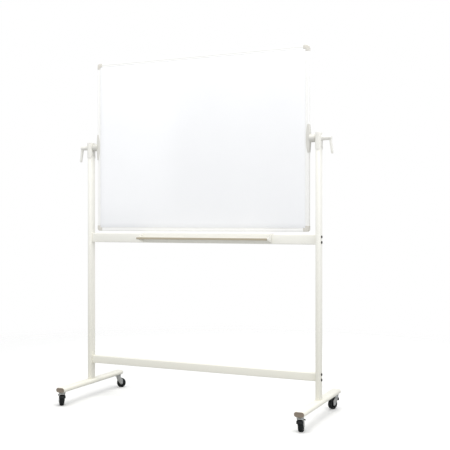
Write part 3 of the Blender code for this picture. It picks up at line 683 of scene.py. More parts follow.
class WHITEBOARD_OT_fasteners(bpy.types.Operator):
    """Crossbar bolts through the posts and screws under the feet"""

    bl_idname = "whiteboard.fasteners"
    bl_label = "Fasteners"

    def execute(self, context):
        for side, sign in SIDES:
            outward = Matrix.Rotation(sign * QUARTER, 4, "Y")
            for bar in ("upper", "lower"):
                for place in ("high", "low"):
                    self.add_bolt(f"{bar}_bolt_{side}_{place}", X, sign, outward)
            downward = Matrix.Rotation(math.pi, 4, "X")
            for place in ("front", "rear"):
                self.add_bolt(f"{side}_foot_screw_{place}", Z, -1, downward)
        return {"FINISHED"}

    def add_bolt(self, node, axis, sign, turn):
        low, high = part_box(node)
        seat = (low + high) / 2
        seat[axis] = high[axis] - BOLT_HEAD if sign > 0 else low[axis] + BOLT_HEAD
        bolt = socket_bolt((high.y - low.y) / 2, high[axis] - low[axis] - BOLT_HEAD)
        bolt.transform(Matrix.Translation(seat) @ turn)
        add_piece(f"{node}_socket_head", bolt, finish("blackened_steel"), node)


HEAD_WALL = 2.0 * MM
ARCH_RISE = 15.0 * MM
ARCH_RADIUS = 25.0 * MM
ARCH_CUTS = 24  # points that draw the arch


def arch_rise(offset):
    """How far the head's lower edge rises at an offset along Y from its middle."""
    if offset >= ARCH_RADIUS:
        return 0.0
    return max(0.0, math.sqrt(ARCH_RADIUS**2 - offset**2) - (ARCH_RADIUS - ARCH_RISE))


def pivot_head(node):
    """A sleeve over the post with a domed top and an arch cut in each broad side."""
    low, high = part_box(node)
    middle = (low + high) / 2
    radius = (high.x - low.x) / 2 - OVAL_SLACK
    head = block(low, high)
    bmesh.ops.delete(head, geom=[f for f in head.faces if f.normal.z < -0.9], context="FACES")
    round_off(head, edges_along(head, Z), radius, OVAL_STEPS)
    ends = edges_at(head, Z, low.z) + edges_at(head, Z, high.z)
    broad = [e for e in ends if abs(e.verts[0].co.y - e.verts[1].co.y) > radius]
    bmesh.ops.subdivide_edges(head, edges=broad, cuts=ARCH_CUTS, use_grid_fill=True)
    round_off(head, edges_at(head, Z, high.z), sizes().head_dome, 8)
    for vert in head.verts:
        if abs(vert.co.z - low.z) < 1e-6:
            vert.co.z += arch_rise(abs(vert.co.y - middle.y))
    bmesh.ops.recalc_face_normals(head, faces=head.faces)
    bmesh.ops.solidify(head, geom=list(head.faces), thickness=HEAD_WALL)
    bmesh.ops.recalc_face_normals(head, faces=head.faces)
    return head


# A thin washer face moulded round the bolt's hole, under the lever: (radius, height) points.
HEAD_COLLAR = (
    (0.0118, -0.0040),
    (0.0158, -0.0040),
    (0.0158, -0.0004),
    (0.0150, 0.0002),
    (0.0118, 0.0002),
    (0.0118, -0.0040),
)


class WHITEBOARD_OT_pivot_heads(bpy.types.Operator):
    """Moulded heads that cap the posts and carry the pivot bolts"""

    bl_idname = "whiteboard.pivot_heads"
    bl_label = "Pivot heads"

    def execute(self, context):
        for side, sign in SIDES:
            node = f"{side}_pivot_head"
            low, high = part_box(node)
            outer = high.x if sign > 0 else low.x
            outward = Matrix.Rotation(sign * QUARTER, 4, "Y")
            place = Matrix.Translation((outer, 0, PIVOT_Z)) @ outward
            whole = together(pivot_head(node), turned(HEAD_COLLAR, 48, place))
            add_piece(f"{node}_moulding", whole, finish("pivot_abs"), node)
        return {"FINISHED"}


SHEET = 2.0 * MM
TRAY_PLAY = 0.4 * MM  # between the sheet and the crossbar
TRAY_HOOK = 17.5 * MM  # how far the hook comes down behind the crossbar
TRAY_DROP = 29.0 * MM  # from the crossbar's top down to the tray's floor
TRAY_LIP = 10.0 * MM
END_PLATE = 1.6 * MM
END_RADIUS = 2.0 * MM
END_GAP = 0.5 * MM  # between the sheet's back and the end plates
LIP_SHADE_BAND = 1.6 * MM  # thickness of the lip that the painted shade reaches into
# From an outline drawn as (y, z) to the frame.
CROSSWISE = Matrix.Rotation(QUARTER, 4, "Z") @ Matrix.Rotation(QUARTER, 4, "X")


def tray_corner():
    """Where the end plates meet the crossbar in Y, and the height of the tray's floor."""
    bar_low, bar_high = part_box("upper_crossbar")
    return bar_low.y - TRAY_PLAY - END_GAP, bar_high.z - TRAY_DROP


def tray_sheet(low, high):
    """The folded sheet, from the hook behind the bar to the lip, carried along X."""
    bar_low, bar_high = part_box("upper_crossbar")
    back, front = bar_high.y + TRAY_PLAY, bar_low.y - TRAY_PLAY
    top = bar_high.z + TRAY_PLAY
    floor = bar_high.z - TRAY_DROP
    line = [
        (back, bar_high.z - TRAY_HOOK),
        (back, top),
        (front, top),
        (front, floor),
        (low.y, floor),
        (low.y, floor + TRAY_LIP),
    ]
    sheet = bmesh.new()
    verts = [sheet.verts.new((low.x, y, z)) for y, z in line]
    edges = [sheet.edges.new(pair) for pair in zip(verts, verts[1:])]
    carried = bmesh.ops.extrude_edge_only(sheet, edges=edges)["geom"]
    bmesh.ops.translate(sheet, vec=(high.x - low.x, 0, 0), verts=moved(carried))
    bmesh.ops.recalc_face_normals(sheet, faces=sheet.faces)
    folds = [e for e in edges_along(sheet, X) if not e.is_boundary]
    round_off(sheet, folds, sizes().fold_radius, 5)
    faces = list(sheet.faces)
    highest = max(faces, key=lambda face: face.calc_center_median().z)
    if highest.normal.z < 0:
        bmesh.ops.reverse_faces(sheet, faces=faces)
    bmesh.ops.solidify(sheet, geom=faces, thickness=-SHEET)
    bmesh.ops.recalc_face_normals(sheet, faces=sheet.faces)
    return sheet


def tray_end(x, low, high):
    """A gusset end plate, deeper at the crossbar than at the lip."""
    back, floor = tray_corner()
    lip_top = floor + TRAY_LIP
    outline = [
        *arc((low.y + END_RADIUS, lip_top - END_RADIUS), END_RADIUS, 180, 90, 3),
        (back, high.z - SHEET),
        (back, low.z),
        *arc((low.y + END_RADIUS, floor + END_RADIUS), END_RADIUS, 270, 180, 3),
    ]
    return plate(outline, END_PLATE, 0.4 * MM, 2, Matrix.Translation((x, 0, 0)) @ CROSSWISE)


class WHITEBOARD_OT_pen_tray(bpy.types.Operator):
    """Folded sheet tray hooked over the upper crossbar"""

    bl_idname = "whiteboard.pen_tray"
    bl_label = "Pen tray"

    def execute(self, context):
        low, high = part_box("pen_tray")
        inset = END_PLATE / 2
        ends = [tray_end(x, low, high) for x in (low.x + inset, high.x - inset)]
        tray = together(tray_sheet(low, high), *ends)
        add_piece("pen_tray_sheet", tray, finish("tray_powder_coat"), "pen_tray")
        return {"FINISHED"}


# --- board ----------------------------------------------------------------------------------------


RAIL_FACE = 18.0 * MM
RAIL_WALL = 1.5 * MM
GROOVE_DEPTH, GROOVE_HALF = 0.45 * MM, 0.8 * MM  # the shadow line along the lip
GROOVE_INSET = 5.0 * MM  # from the lip's edge


def rail_outline(depth, edge):
    """Section of a rail, x inward from its outer side: rounded back, lip, shadow line."""
    half = depth / 2
    lip = half - RAIL_WALL
    groove = RAIL_FACE - GROOVE_INSET
    front = [
        *arc((edge, edge - half), edge, 180, 270, 6),
        (groove - GROOVE_HALF, -half),
        (groove, GROOVE_DEPTH - half),
        (groove + GROOVE_HALF, -half),
        (RAIL_FACE - 0.6 * MM, -half),
        (RAIL_FACE, 0.5 * MM - half),
        (RAIL_FACE, -lip),
        (RAIL_WALL, -lip),
    ]
    return front + [(x, -y) for x, y in reversed(front)]


def rail(node, outer, inward, length_axis):
    """A rail drawn in its section plane and carried along its length."""
    low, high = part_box(node)
    depth = high.y - low.y
    build = bmesh.new()
    points = []
    for x, y in rail_outline(depth, sizes().rail_edge):
        point = Vector((0, y, 0))
        point[2 - length_axis] = outer + inward * x
        point[length_axis] = low[length_axis]
        points.append(build.verts.new(point))
    face = build.faces.new(points)
    raised = bmesh.ops.extrude_face_region(build, geom=[face])["geom"]
    run = Vector((0, 0, 0))
    run[length_axis] = high[length_axis] - low[length_axis]
    bmesh.ops.translate(build, vec=run, verts=moved(raised))
    bmesh.ops.recalc_face_normals(build, faces=build.faces)
    return build


class WHITEBOARD_OT_frame_rails(bpy.types.Operator):
    """Extruded rails round the writing sheets"""

    bl_idname = "whiteboard.frame_rails"
    bl_label = "Frame rails"

    def execute(self, context):
        places = (("left", Z, -1), ("right", Z, 1), ("bottom", X, -1), ("top", X, 1))
        for name, length_axis, sign in places:
            node = f"{name}_frame_rail"
            low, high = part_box(node)
            across = 2 - length_axis
            outer = high[across] if sign > 0 else low[across]
            shape = rail(node, outer, -sign, length_axis)
            coat = "rail_lacquer_upright" if length_axis == Z else "rail_lacquer_across"
            add_piece(f"{node}_extrusion", shape, finish(coat), node)
        return {"FINISHED"}


CORNER_OUTER, CORNER_INNER = 13.0 * MM, 1.2 * MM  # radii of a corner cap


def corner_outline(leg):
    """L of a corner cap, its rounded outer corner at the origin, legs along +x and +y."""
    inside = RAIL_FACE + CORNER_INNER
    return [
        *arc((CORNER_OUTER, CORNER_OUTER), CORNER_OUTER, 180, 270, 10),
        (leg, 0.0),
        (leg, RAIL_FACE),
        *arc((inside, inside), CORNER_INNER, 270, 180, 4),
        (RAIL_FACE, leg),
        (0.0, leg),
    ]


class WHITEBOARD_OT_corner_caps(bpy.types.Operator):
    """Moulded caps at the board's corners"""

    bl_idname = "whiteboard.corner_caps"
    bl_label = "Corner caps"

    def execute(self, context):
        for tall in ("bottom", "top"):
            for side, sign in SIDES:
                node = f"{tall}_{side}_corner_cap"
                low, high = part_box(node)
                up = 1 if tall == "bottom" else -1
                corner = (high.x if sign > 0 else low.x, 0, low.z if up > 0 else high.z)
                outline = [(-sign * x, up * z) for x, z in corner_outline(high.x - low.x)]
                place = Matrix.Translation(corner) @ UPRIGHT
                cap = plate(outline, high.y - low.y, sizes().corner_edge, 4, place)
                add_piece(f"{node}_moulding", cap, finish("corner_abs"), node)
        return {"FINISHED"}


SHEET_EDGE = 0.15 * MM
SHEET_GRID = 36  # cuts along each long edge
WAVES = ((5.1, 1.3), (3.7, 0.4))  # radians from middle to edge and phase, across and upward


def writing_sheet(node):
    """A thin steel sheet, gridded so that it can carry its faint waves, with eased edges."""
    low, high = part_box(node)
    sheet = block(low, high)
    round_off(sheet, list(sheet.edges), SHEET_EDGE, 2)
    long_edges = [e for e in sheet.edges if e.calc_length() > 0.1]
    bmesh.ops.subdivide_edges(sheet, edges=long_edges, cuts=SHEET_GRID, use_grid_fill=True)
    wave = sizes().sheet_wave
    middle = (low + high) / 2
    half = (high - low) / 2
    outward = 1 if middle.y > 0 else -1
    (turn_x, phase_x), (turn_z, phase_z) = WAVES
    for vert in sheet.verts:
        across = (vert.co.x - middle.x) / half.x
        along = (vert.co.z - middle.z) / half.z
        edge = max(0.0, (1 - across**2) * (1 - along**2))
        if (vert.co.y - middle.y) * outward > 0:
            swell = math.sin(turn_x * across + phase_x) * math.cos(turn_z * along + phase_z)
            vert.co.y -= outward * wave * edge * (1 + swell) / 2
    return sheet


class WHITEBOARD_OT_writing_sheets(bpy.types.Operator):
    """Front and back writing sheets and the core between them"""

    bl_idname = "whiteboard.writing_sheets"
    bl_label = "Writing sheets"

    def execute(self, context):
        for way in ("front", "back"):
            node = f"{way}_writing_sheet"
            add_piece(f"{node}_steel", writing_sheet(node), finish("enamelled_steel"), node)
        repaint("core_board", "fibre_core")
        return {"FINISHED"}


BRACKET_TIP = 4.2 * MM  # radius of the bracket's round ends
BRACKET_TIP_X = -3.5 * MM  # from the board's side, outward
BRACKET_SWELL = 4.0 * MM  # how much its outer side bulges at the middle
BRACKET_DEPTH = 27.0 * MM
POCKET_PLAY = 0.3 * MM
POCKET_REACH = 100.0 * MM  # past the bracket, so that the pocket runs right through
BOLT_ROOM = 8.4 * MM
BOLT_HEAD_ROOM = 6.1 * MM
BOLT_BORE = 5.4 * MM
HUB_RADIUS = 19.5 * MM
HUB_START = 2.0 * MM
# Room for the bolt's head through the bracket's outer wall: (radius, height) points.
RECESS = ((0.0, -0.002), (BOLT_ROOM, -0.002), (BOLT_ROOM, 0.012), (0.0, 0.012))
BRACKET_STEPS = 36


def bracket_outline(straight, inner_swell):
    """Boat-shaped bracket seen from the front; x runs outward from the board's side."""
    top = arc((BRACKET_TIP_X, straight), BRACKET_TIP, 0, 180, 14)
    bottom = arc((BRACKET_TIP_X, -straight), BRACKET_TIP, 180, 360, 14)
    outer, inner = [], []
    for i in range(1, BRACKET_STEPS):
        z = straight * (2 * i / BRACKET_STEPS - 1)
        swell = 1 - (z / straight) ** 2
        outer.append((BRACKET_TIP_X + BRACKET_TIP + BRACKET_SWELL * swell, z))
        inner.append((BRACKET_TIP_X - BRACKET_TIP - inner_swell * swell, z))
    return outer + top + inner[::-1] + bottom


def pivot_bracket(node, sign):
    """A boat that clips round the side rail, with a stout round hub out to the pivot head."""
    low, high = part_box(node)
    rail_low, rail_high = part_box("right_frame_rail")
    side_x = rail_high.x
    inner, reach = sorted((abs(low.x) - side_x, abs(high.x) - side_x))
    straight = (high.z - low.z) / 2 - BRACKET_TIP
    outline = bracket_outline(straight, BRACKET_TIP_X - BRACKET_TIP - inner)
    boat = plate(outline, BRACKET_DEPTH, sizes().bracket_edge, 5, UPRIGHT)
    pocket = block(
        (-POCKET_REACH, rail_low.y - POCKET_PLAY, -POCKET_REACH),
        (POCKET_PLAY, rail_high.y + POCKET_PLAY, POCKET_REACH),
    )
    boat = carve(boat, pocket)
    lie = Matrix.Rotation(QUARTER, 4, "Y")
    boat = carve(boat, turned(RECESS, 48, lie))
    hub = [
        (BOLT_BORE, reach),
        (HUB_RADIUS - 2.4 * MM, reach),
        (HUB_RADIUS - 1.3 * MM, reach - 0.3 * MM),
        (HUB_RADIUS - 0.6 * MM, reach - 1.2 * MM),
        (HUB_RADIUS - 0.4 * MM, reach - 3.0 * MM),
        (HUB_RADIUS, 8.0 * MM),
        (HUB_RADIUS, HUB_START),
        (BOLT_ROOM, HUB_START),
        (BOLT_ROOM, BOLT_HEAD_ROOM),
        (BOLT_BORE, BOLT_HEAD_ROOM),
        (BOLT_BORE, reach),
    ]
    whole = together(boat, turned(hub, 72, lie))
    whole.transform(side_place(sign, sign * side_x, PIVOT_Z))
    return whole


class WHITEBOARD_OT_pivot_brackets(bpy.types.Operator):
    """Brackets that clip round the side rails, and their pivot bolts"""

    bl_idname = "whiteboard.pivot_brackets"
    bl_label = "Pivot brackets"

    def execute(self, context):
        for side, sign in SIDES:
            node = f"{side}_pivot_bracket"
            add_piece(f"{node}_moulding", pivot_bracket(node, sign), finish("bracket_abs"), node)
            repaint(f"{side}_pivot_bolt", "zinc_plated_steel")
        return {"FINISHED"}


LEVER_BORE = 28.4 * MM  # how deep the bolt goes into the hub

# The lever's turned hub as (radius, distance from the head): flared foot, taper, crowned end.
LEVER_HUB = (
    (0.0150, 0.0000),
    (0.0155, 0.0007),
    (0.0153, 0.0019),
    (0.0141, 0.0036),
    (0.0130, 0.0064),
    (0.0125, 0.0100),
    (0.0120, 0.0300),
    (0.0115, 0.0455),
    (0.0106, 0.0478),
    (0.0084, 0.0492),
    (0.0045, 0.0498),
    (0.0000, 0.0500),
)

# The arm below it, from its root inside the hub to its tip: middle x, z, half width, half depth.
LEVER_ARM = (
    (0.0430, 0.0050, 0.0060, 0.0068),
    (0.0434, -0.0070, 0.0065, 0.0070),
    (0.0447, -0.0220, 0.0061, 0.0069),
    (0.0472, -0.0400, 0.0057, 0.0067),
    (0.0499, -0.0580, 0.0054, 0.0064),
    (0.0518, -0.0758, 0.0051, 0.0060),
)
ARM_EDGE = 3.4 * MM
ARM_TIP = 2.6 * MM


def lever_arm():
    """The hanging arm: a four-sided loop drawn down through the stations, closed and rounded."""
    x, z, half_x, half_y = LEVER_ARM[0]
    corners = ((-1, -1), (1, -1), (1, 1), (-1, 1))
    arm = bmesh.new()
    root = [arm.verts.new((x + half_x * i, half_y * j, z)) for i, j in corners]
    loop = [arm.edges.new(pair) for pair in zip(root, root[1:] + root[:1])]
    for place in LEVER_ARM[1:]:
        drawn = bmesh.ops.extrude_edge_only(arm, edges=loop)["geom"]
        verts = moved(drawn)
        size = (place[2] / half_x, place[3] / half_y, 1)
        bmesh.ops.scale(arm, vec=size, verts=verts, space=Matrix.Translation((-x, 0, -z)))
        bmesh.ops.translate(arm, vec=(place[0] - x, 0, place[1] - z), verts=verts)
        loop = [e for e in drawn if isinstance(e, bmesh.types.BMEdge) and e.is_boundary]
        x, z, half_x, half_y = place
    bmesh.ops.holes_fill(arm, edges=[e for e in arm.edges if e.is_boundary], sides=4)
    bmesh.ops.recalc_face_normals(arm, faces=arm.faces)
    running = [e for e in arm.edges if abs(e.verts[0].co.z - e.verts[1].co.z) > MM]
    round_off(arm, running, ARM_EDGE, 5)
    round_off(arm, edges_at(arm, Z, z), ARM_TIP, 4)
    return arm


def lever_hub():
    """The lever's turned hub, bored for the bolt."""
    inside = [(0.0, LEVER_BORE), (BOLT_BORE, LEVER_BORE), (BOLT_BORE, 0.0)]
    return turned(inside + list(LEVER_HUB), 64, Matrix.Rotation(QUARTER, 4, "Y"))


class WHITEBOARD_OT_clamp_levers(bpy.types.Operator):
    """Levers that clamp the board at its angle"""

    bl_idname = "whiteboard.clamp_levers"
    bl_label = "Clamp levers"

    def execute(self, context):
        for side, sign in SIDES:
            node = f"{side}_clamp_lever"
            pos = JOINTS[f"{side}_lever_turn"]["pos_m"]
            whole = together(lever_hub(), lever_arm())
            whole.transform(side_place(sign, pos[X], pos[Z], pos[Y]))
            add_piece(f"{node}_moulding", whole, finish("pivot_abs"), node)
        return {"FINISHED"}


# --- castors --------------------------------------------------------------------------------------


TRAIL = 20.0 * MM
WHEEL_RADIUS = 25.0 * MM
HALF_TREAD = 11.0 * MM
YOKE_HALF = 14.3 * MM
YOKE_SHEET = 2.0 * MM


def castor_place(name):
    """From a castor's own axes (+x trails, z up from the floor) to the frame's."""
    swivel = Vector(JOINTS[f"{name}_swivel"]["pos_m"])
    axle = Vector(JOINTS[f"{name}_wheel_roll"]["pos_m"])
    run = axle - swivel
    turn = math.atan2(run.y, run.x)
    return Matrix.Translation((swivel.x, swivel.y, 0)) @ Matrix.Rotation(turn, 4, "Z")


def raceway(node):
    """The stem's upper raceway: a pressed cup with a rolled rim, under the foot."""
    low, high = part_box(node)
    middle = (low + high) / 2
    under = low.z + 4.0 * MM
    profile = [
        (0.0, high.z),
        (0.0032, high.z),
        (0.0040, high.z - 0.0008),
        (0.0040, under),
        (0.0140, under),
        (0.0166, under - 0.0006),
        (0.0175, under - 0.0016),
        (0.0175, under - 0.0030),
        (0.0168, low.z),
        (0.0, low.z),
    ]
    return turned(profile, 56, Matrix.Translation((middle.x, middle.y, 0)))


# Side view of a fork plate, +x trailing, wrapped round the axle; then the swivel's domed crown.
FORK_PLATE = (
    (-0.0085, 0.0620),
    (-0.0085, 0.0550),
    (-0.0040, 0.0450),
    *arc((TRAIL, WHEEL_RADIUS), 8.5 * MM, 205, 360, 20),
    (0.0285, 0.0430),
    (0.0262, 0.0466),
    (0.0180, 0.0520),
    (0.0165, 0.0545),
    (0.0165, 0.0620),
)
YOKE_CROWN = (
    (0.0000, 0.0669),
    (0.0125, 0.0669),
    (0.0146, 0.0665),
    (0.0159, 0.0656),
    (0.0167, 0.0643),
    (0.0170, 0.0628),
    (0.0170, 0.0618),
    (0.0000, 0.0618),
)
BRIDGE_LOW = (-0.0085, -YOKE_HALF, 0.0600)
BRIDGE_HIGH = (0.0165, YOKE_HALF, 0.0630)
BRIDGE_CORNER, BRIDGE_SHOULDER = 3.0 * MM, 2.0 * MM
PRESSED_EDGE = 0.5 * MM
# The axle's formed end outside the fork: (radius, distance out from the plate).
RIVET = (
    (0.0, 0.0018),
    (0.0026, 0.0017),
    (0.0044, 0.0010),
    (0.0052, 0.0),
    (0.0052, -0.0006),
    (0.0040, -0.0006),
    (0.0040, -YOKE_HALF),
    (0.0, -YOKE_HALF),
)


def yoke(name):
    """Crown, bridge, two fork plates and the riveted axle."""
    bridge = block(BRIDGE_LOW, BRIDGE_HIGH)
    round_off(bridge, edges_along(bridge, Z), BRIDGE_CORNER, 5)
    round_off(bridge, edges_at(bridge, Z, BRIDGE_HIGH[Z]), BRIDGE_SHOULDER, 4)
    shapes = [turned(YOKE_CROWN, 56), bridge]
    for way in (-1, 1):
        shift = Matrix.Translation((0, way * (YOKE_HALF - YOKE_SHEET / 2), 0))
        shapes.append(plate(FORK_PLATE, YOKE_SHEET, PRESSED_EDGE, 2, shift @ UPRIGHT))
        face = Matrix.Translation((TRAIL, way * YOKE_HALF, WHEEL_RADIUS))
        shapes.append(turned(RIVET, 32, face @ Matrix.Rotation(-way * QUARTER, 4, "X")))
    whole = together(*shapes)
    whole.transform(castor_place(name))
    return whole


def wheel_axes(name):
    """From a wheel's own axes (z along the axle, centred on it) to the frame's."""
    return castor_place(name) @ Matrix.Translation((TRAIL, 0, WHEEL_RADIUS)) @ UPRIGHT


TYRE_SEAT = 18.6 * MM
MOULD_LINE = ((0.0, 3.2), (0.35, 2.9), (0.0, 2.6))  # mm in from the tread, mm from its middle

# Half of the core's section, as (radius, distance from the wheel's middle): hub, dished web, rim.
CORE_SIDE = (
    (0.0044, 0.0117),
    (0.0076, 0.0117),
    (0.0080, 0.0111),
    (0.0084, 0.0054),
    (0.0100, 0.0042),
    (0.0158, 0.0042),
    (0.0168, 0.0054),
    (0.0172, 0.0100),
    (0.0178, 0.0107),
    (0.0186, 0.0104),
    (0.0188, 0.0085),
)
RIBS = 6
RIB_LOW, RIB_HIGH = (0.0078, -0.0009, -0.0088), (0.0170, 0.0009, 0.0088)
RIB_EDGE = 0.4 * MM


def mirrored_ring(half):
    """A closed section from its upper half and that half's mirror image."""
    ring = list(half) + [(radius, -height) for radius, height in reversed(half)]
    return ring + ring[:1]


def tyre(name):
    """The tread ring with rounded shoulders and two fine mould lines."""
    edge = sizes().tyre_edge
    half = [
        (TYRE_SEAT, HALF_TREAD - 0.8 * MM),
        (TYRE_SEAT + 0.6 * MM, HALF_TREAD),
        (WHEEL_RADIUS - edge, HALF_TREAD),
    ]
    shoulder = arc((HALF_TREAD - edge, WHEEL_RADIUS - edge), edge, 0, 90, 6)
    half += [(radius, height) for height, radius in shoulder[1:]]
    half += [(WHEEL_RADIUS - depth * MM, height * MM) for depth, height in MOULD_LINE]
    return turned(mirrored_ring(half), 72, wheel_axes(name))


def wheel_core(name):
    """The moulded core: hub, dished web with six ribs a side, and the rim under the tyre."""
    shapes = [turned(mirrored_ring(CORE_SIDE), 72)]
    for i in range(RIBS):
        rib = block(RIB_LOW, RIB_HIGH)
        round_off(rib, edges_along(rib, X), RIB_EDGE, 2)
        rib.transform(Matrix.Rotation(2 * math.pi * i / RIBS, 4, "Z"))
        shapes.append(rib)
    whole = together(*shapes)
    whole.transform(wheel_axes(name))
    return whole


PEDAL_WIDTH = 33.2 * MM
WEB_WIDTH = 24.0 * MM
PEDAL_PIN = (0.0120, 0.0555)
# Side views in the castor's own axes: the hood over the tread and the web between the plates.
PEDAL_HOOD = (
    (0.0185, 0.0560),
    (0.0335, 0.0527),
    (0.0345, 0.0523),
    (0.0472, 0.0450),
    (0.0480, 0.0452),
    (0.0484, 0.0462),
    (0.0478, 0.0472),
    (0.0352, 0.0546),
    (0.0336, 0.0552),
    (0.0190, 0.0585),
)
PEDAL_WEB = (
    (-0.0098, 0.0545),
    (-0.0098, 0.0500),
    (0.0000, 0.0515),
    (0.0192, 0.0528),
    (0.0192, 0.0580),
    (0.0120, 0.0580),
)
APRON_LOW = (-0.0110, 0.1 * MM - PEDAL_WIDTH / 2, 0.0402)
APRON_HIGH = (-0.0090, PEDAL_WIDTH / 2 - 0.1 * MM, 0.0543)
GRIP_RIBS = (0.0372, 0.0402, 0.0432)  # x of the ribs across the toe
GRIP_RIB_HALF = Vector((0.0006, 0.0125, 0.0006))
GRIP_RIB_EDGE = 0.35 * MM
PIN_RADIUS = 2.0 * MM
PIN_INSET = 0.4 * MM  # from the pedal's sides


def brake_pedal(name):
    """A moulded pedal: an apron before the fork, a web on the pin, a hood and a ribbed toe."""
    shapes = [
        plate(PEDAL_HOOD, PEDAL_WIDTH, 0.7 * MM, 3, UPRIGHT),
        plate(PEDAL_WEB, WEB_WIDTH, 0.6 * MM, 2, UPRIGHT),
    ]
    apron = block(APRON_LOW, APRON_HIGH)
    round_off(apron, list(apron.edges), 0.6 * MM, 3)
    shapes.append(apron)
    reach = PEDAL_WIDTH / 2 - PIN_INSET
    pin = [(0.0, reach), (PIN_RADIUS, reach), (PIN_RADIUS, -reach), (0.0, -reach)]
    pin_place = Matrix.Translation((PEDAL_PIN[0], 0, PEDAL_PIN[1]))
    shapes.append(turned(pin, 24, pin_place @ UPRIGHT))
    knee, toe, crease = PEDAL_HOOD[2], PEDAL_HOOD[3], PEDAL_HOOD[7]
    slope = math.atan2(toe[1] - knee[1], toe[0] - knee[0])
    for x in GRIP_RIBS:
        rib = block(-GRIP_RIB_HALF, GRIP_RIB_HALF)
        round_off(rib, edges_along(rib, Y), GRIP_RIB_EDGE, 2)
        z = crease[1] + math.tan(slope) * (x - crease[0])
        rib.transform(Matrix.Translation((x, 0, z)) @ Matrix.Rotation(-slope, 4, "Y"))
        shapes.append(rib)
    whole = together(*shapes)
    whole.transform(castor_place(name))
    return whole


class WHITEBOARD_OT_castor_mounts(bpy.types.Operator):
    """Raceways under the feet and the swivelling yokes"""

    bl_idname = "whiteboard.castor_mounts"
    bl_label = "Castor mounts"

    def execute(self, context):
        zinc = finish("zinc_plated_steel")
        for name in CASTORS:
            stem, fork = f"{name}_castor_stem", f"{name}_castor_yoke"
            add_piece(f"{stem}_raceway", raceway(stem), zinc, stem)
            add_piece(f"{fork}_pressing", yoke(name), zinc, fork)
        return {"FINISHED"}


class WHITEBOARD_OT_castor_wheels(bpy.types.Operator):
    """Tyres and wheel cores"""

    bl_idname = "whiteboard.castor_wheels"
    bl_label = "Castor wheels"

    def execute(self, context):
        for name in CASTORS:
            node = f"{name}_castor_wheel"
            add_piece(f"{node}_tyre", tyre(name), finish("castor_rubber"), node)
            add_piece(f"{node}_core", wheel_core(name), finish("castor_nylon"), node, stands_for=())
        return {"FINISHED"}


class WHITEBOARD_OT_brake_pedals(bpy.types.Operator):
    """Brake pedals, on the castors that have one"""

    bl_idname = "whiteboard.brake_pedals"
    bl_label = "Brake pedals"

    def execute(self, context):
        for name in CASTORS:
            node = f"{name}_brake_pedal"
            if node in frame["nodes"]:
                add_piece(f"{node}_moulding", brake_pedal(name), finish("castor_nylon"), node)
        return {"FINISHED"}


# --- studio ---------------------------------------------------------------------------------------


FLOOR_SOLID = 1.6
FLOOR_REACH = 3.4
FLOOR_DROP = 0.5 * MM  # keeps the floor just under the tyres
CAMERA_PLACE = (1.8674, -3.7686, 0.9488)
CAMERA_TURN = 24.47  # degrees round from straight ahead
CAMERA_TIP = -0.22  # degrees above level
# Softboxes: name, place, aim, width and height in metres, watts, tone.
SOFTBOXES = (
    ("key_overhead", (0.5, -0.9, 3.9), (0, 0, 0.6), (3.4, 2.6), 80, "#FFFDF8"),
    ("fill_front_left", (-2.8, -3.0, 2.2), (0, 0, 0.9), (2.0, 2.4), 14, "#FFFFFF"),
    ("fill_right", (3.4, -0.6, 1.9), (0.3, 0, 1.0), (1.8, 2.4), 24, "#FFFFFF"),
    ("rim_back", (-0.3, 2.8, 3.0), (0, 0, 1.0), (3.0, 2.0), 26, "#FFFFFF"),
)
SURROUND_TONE = (0.97, 0.98, 1.0, 1.0)
SURROUND_LIGHT = 0.74


def add_softbox(name, place, aim, size, power, tone):
    light = bpy.data.lights.new(name, "AREA")
    light.shape = "RECTANGLE"
    light.size, light.size_y = size
    light.energy = power
    light.color = srgb(tone)
    lamp = add_object(name, light)
    lamp.location = place
    lamp.rotation_euler = (Vector(aim) - Vector(place)).to_track_quat("-Z", "Y").to_euler()


def add_world():
    """White where the camera looks past the object, and a softer light on the object itself."""
    world = bpy.data.worlds.new("studio_surround")
    world.use_nodes = True
    tree = world.node_tree
    tree.nodes.clear()
    path = add_node(tree, "ShaderNodeLightPath")
    seen = add_node(tree, "ShaderNodeBackground", {"Color": (1, 1, 1, 1), "Strength": 1.0})
    inputs = {"Color": SURROUND_TONE, "Strength": SURROUND_LIGHT}
    lit = add_node(tree, "ShaderNodeBackground", inputs)
    inputs = {0: path.outputs["Is Camera Ray"], 1: lit.outputs[0], 2: seen.outputs[0]}
    mix = add_node(tree, "ShaderNodeMixShader", inputs)
    add_node(tree, "ShaderNodeOutputWorld", {"Surface": mix.outputs[0]})
    bpy.context.scene.world = world


def add_camera():
    camera = bpy.data.cameras.new("studio_camera")
    camera.lens = sizes().lens
    camera.sensor_width = 36.0
    holder = add_object("studio_camera", camera)
    turn = Matrix.Rotation(math.radians(CAMERA_TURN), 4, "Z")
    tip = Matrix.Rotation(math.radians(90 + CAMERA_TIP), 4, "X")
    holder.matrix_world = Matrix.Translation(CAMERA_PLACE) @ turn @ tip
    bpy.context.scene.camera = holder


def add_floor():
    disc = bmesh.new()
    down = Matrix.Translation((0, 0, -FLOOR_DROP))
    bmesh.ops.create_circle(disc, cap_ends=True, segments=96, radius=FLOOR_REACH, matrix=down)
    floor = add_object("studio_floor", to_mesh(disc, "studio_floor"))
    floor.data.materials.append(finish("studio_floor"))


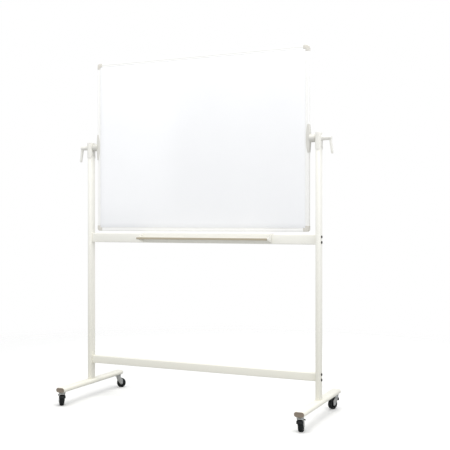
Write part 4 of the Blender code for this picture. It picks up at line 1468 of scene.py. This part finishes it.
class WHITEBOARD_OT_studio(bpy.types.Operator):
    """Pale floor, soft lights and the camera"""

    bl_idname = "whiteboard.studio"
    bl_label = "Studio"

    def execute(self, context):
        add_floor()
        for softbox in SOFTBOXES:
            add_softbox(*softbox)
        add_world()
        add_camera()
        context.scene.view_settings.view_transform = "Standard"
        return {"FINISHED"}


# --- add-on ---------------------------------------------------------------------------------------


STEPS = (
    WHITEBOARD_OT_posts,
    WHITEBOARD_OT_feet,
    WHITEBOARD_OT_crossbars,
    WHITEBOARD_OT_foot_caps,
    WHITEBOARD_OT_fasteners,
    WHITEBOARD_OT_pivot_heads,
    WHITEBOARD_OT_pen_tray,
    WHITEBOARD_OT_frame_rails,
    WHITEBOARD_OT_corner_caps,
    WHITEBOARD_OT_writing_sheets,
    WHITEBOARD_OT_pivot_brackets,
    WHITEBOARD_OT_clamp_levers,
    WHITEBOARD_OT_castor_mounts,
    WHITEBOARD_OT_castor_wheels,
    WHITEBOARD_OT_brake_pedals,
    WHITEBOARD_OT_studio,
)


class WHITEBOARD_PT_panel(bpy.types.Panel):
    """Whiteboard settings and steps"""

    bl_idname = "WHITEBOARD_PT_panel"
    bl_label = "Rolling whiteboard"
    bl_space_type = "VIEW_3D"
    bl_region_type = "UI"
    bl_category = "Whiteboard"

    def draw(self, context):
        layout = self.layout
        for group in (context.scene.whiteboard_sizes, context.scene.whiteboard_colours):
            box = layout.box()
            for name in group.bl_rna.properties.keys():
                if name not in ("rna_type", "name"):
                    box.prop(group, name)
        for step in STEPS:
            layout.operator(step.bl_idname)


CLASSES = (WhiteboardColours, WhiteboardSizes, *STEPS, WHITEBOARD_PT_panel)


def register():
    for item in CLASSES:
        bpy.utils.register_class(item)
    bpy.types.Scene.whiteboard_colours = bpy.props.PointerProperty(type=WhiteboardColours)
    bpy.types.Scene.whiteboard_sizes = bpy.props.PointerProperty(type=WhiteboardSizes)


def unregister():
    del bpy.types.Scene.whiteboard_sizes
    del bpy.types.Scene.whiteboard_colours
    for item in reversed(CLASSES):
        bpy.utils.unregister_class(item)


def main():
    register()
    for step in STEPS:
        getattr(bpy.ops.whiteboard, step.bl_idname.split(".")[1])()


if __name__ == "__main__":
    main()
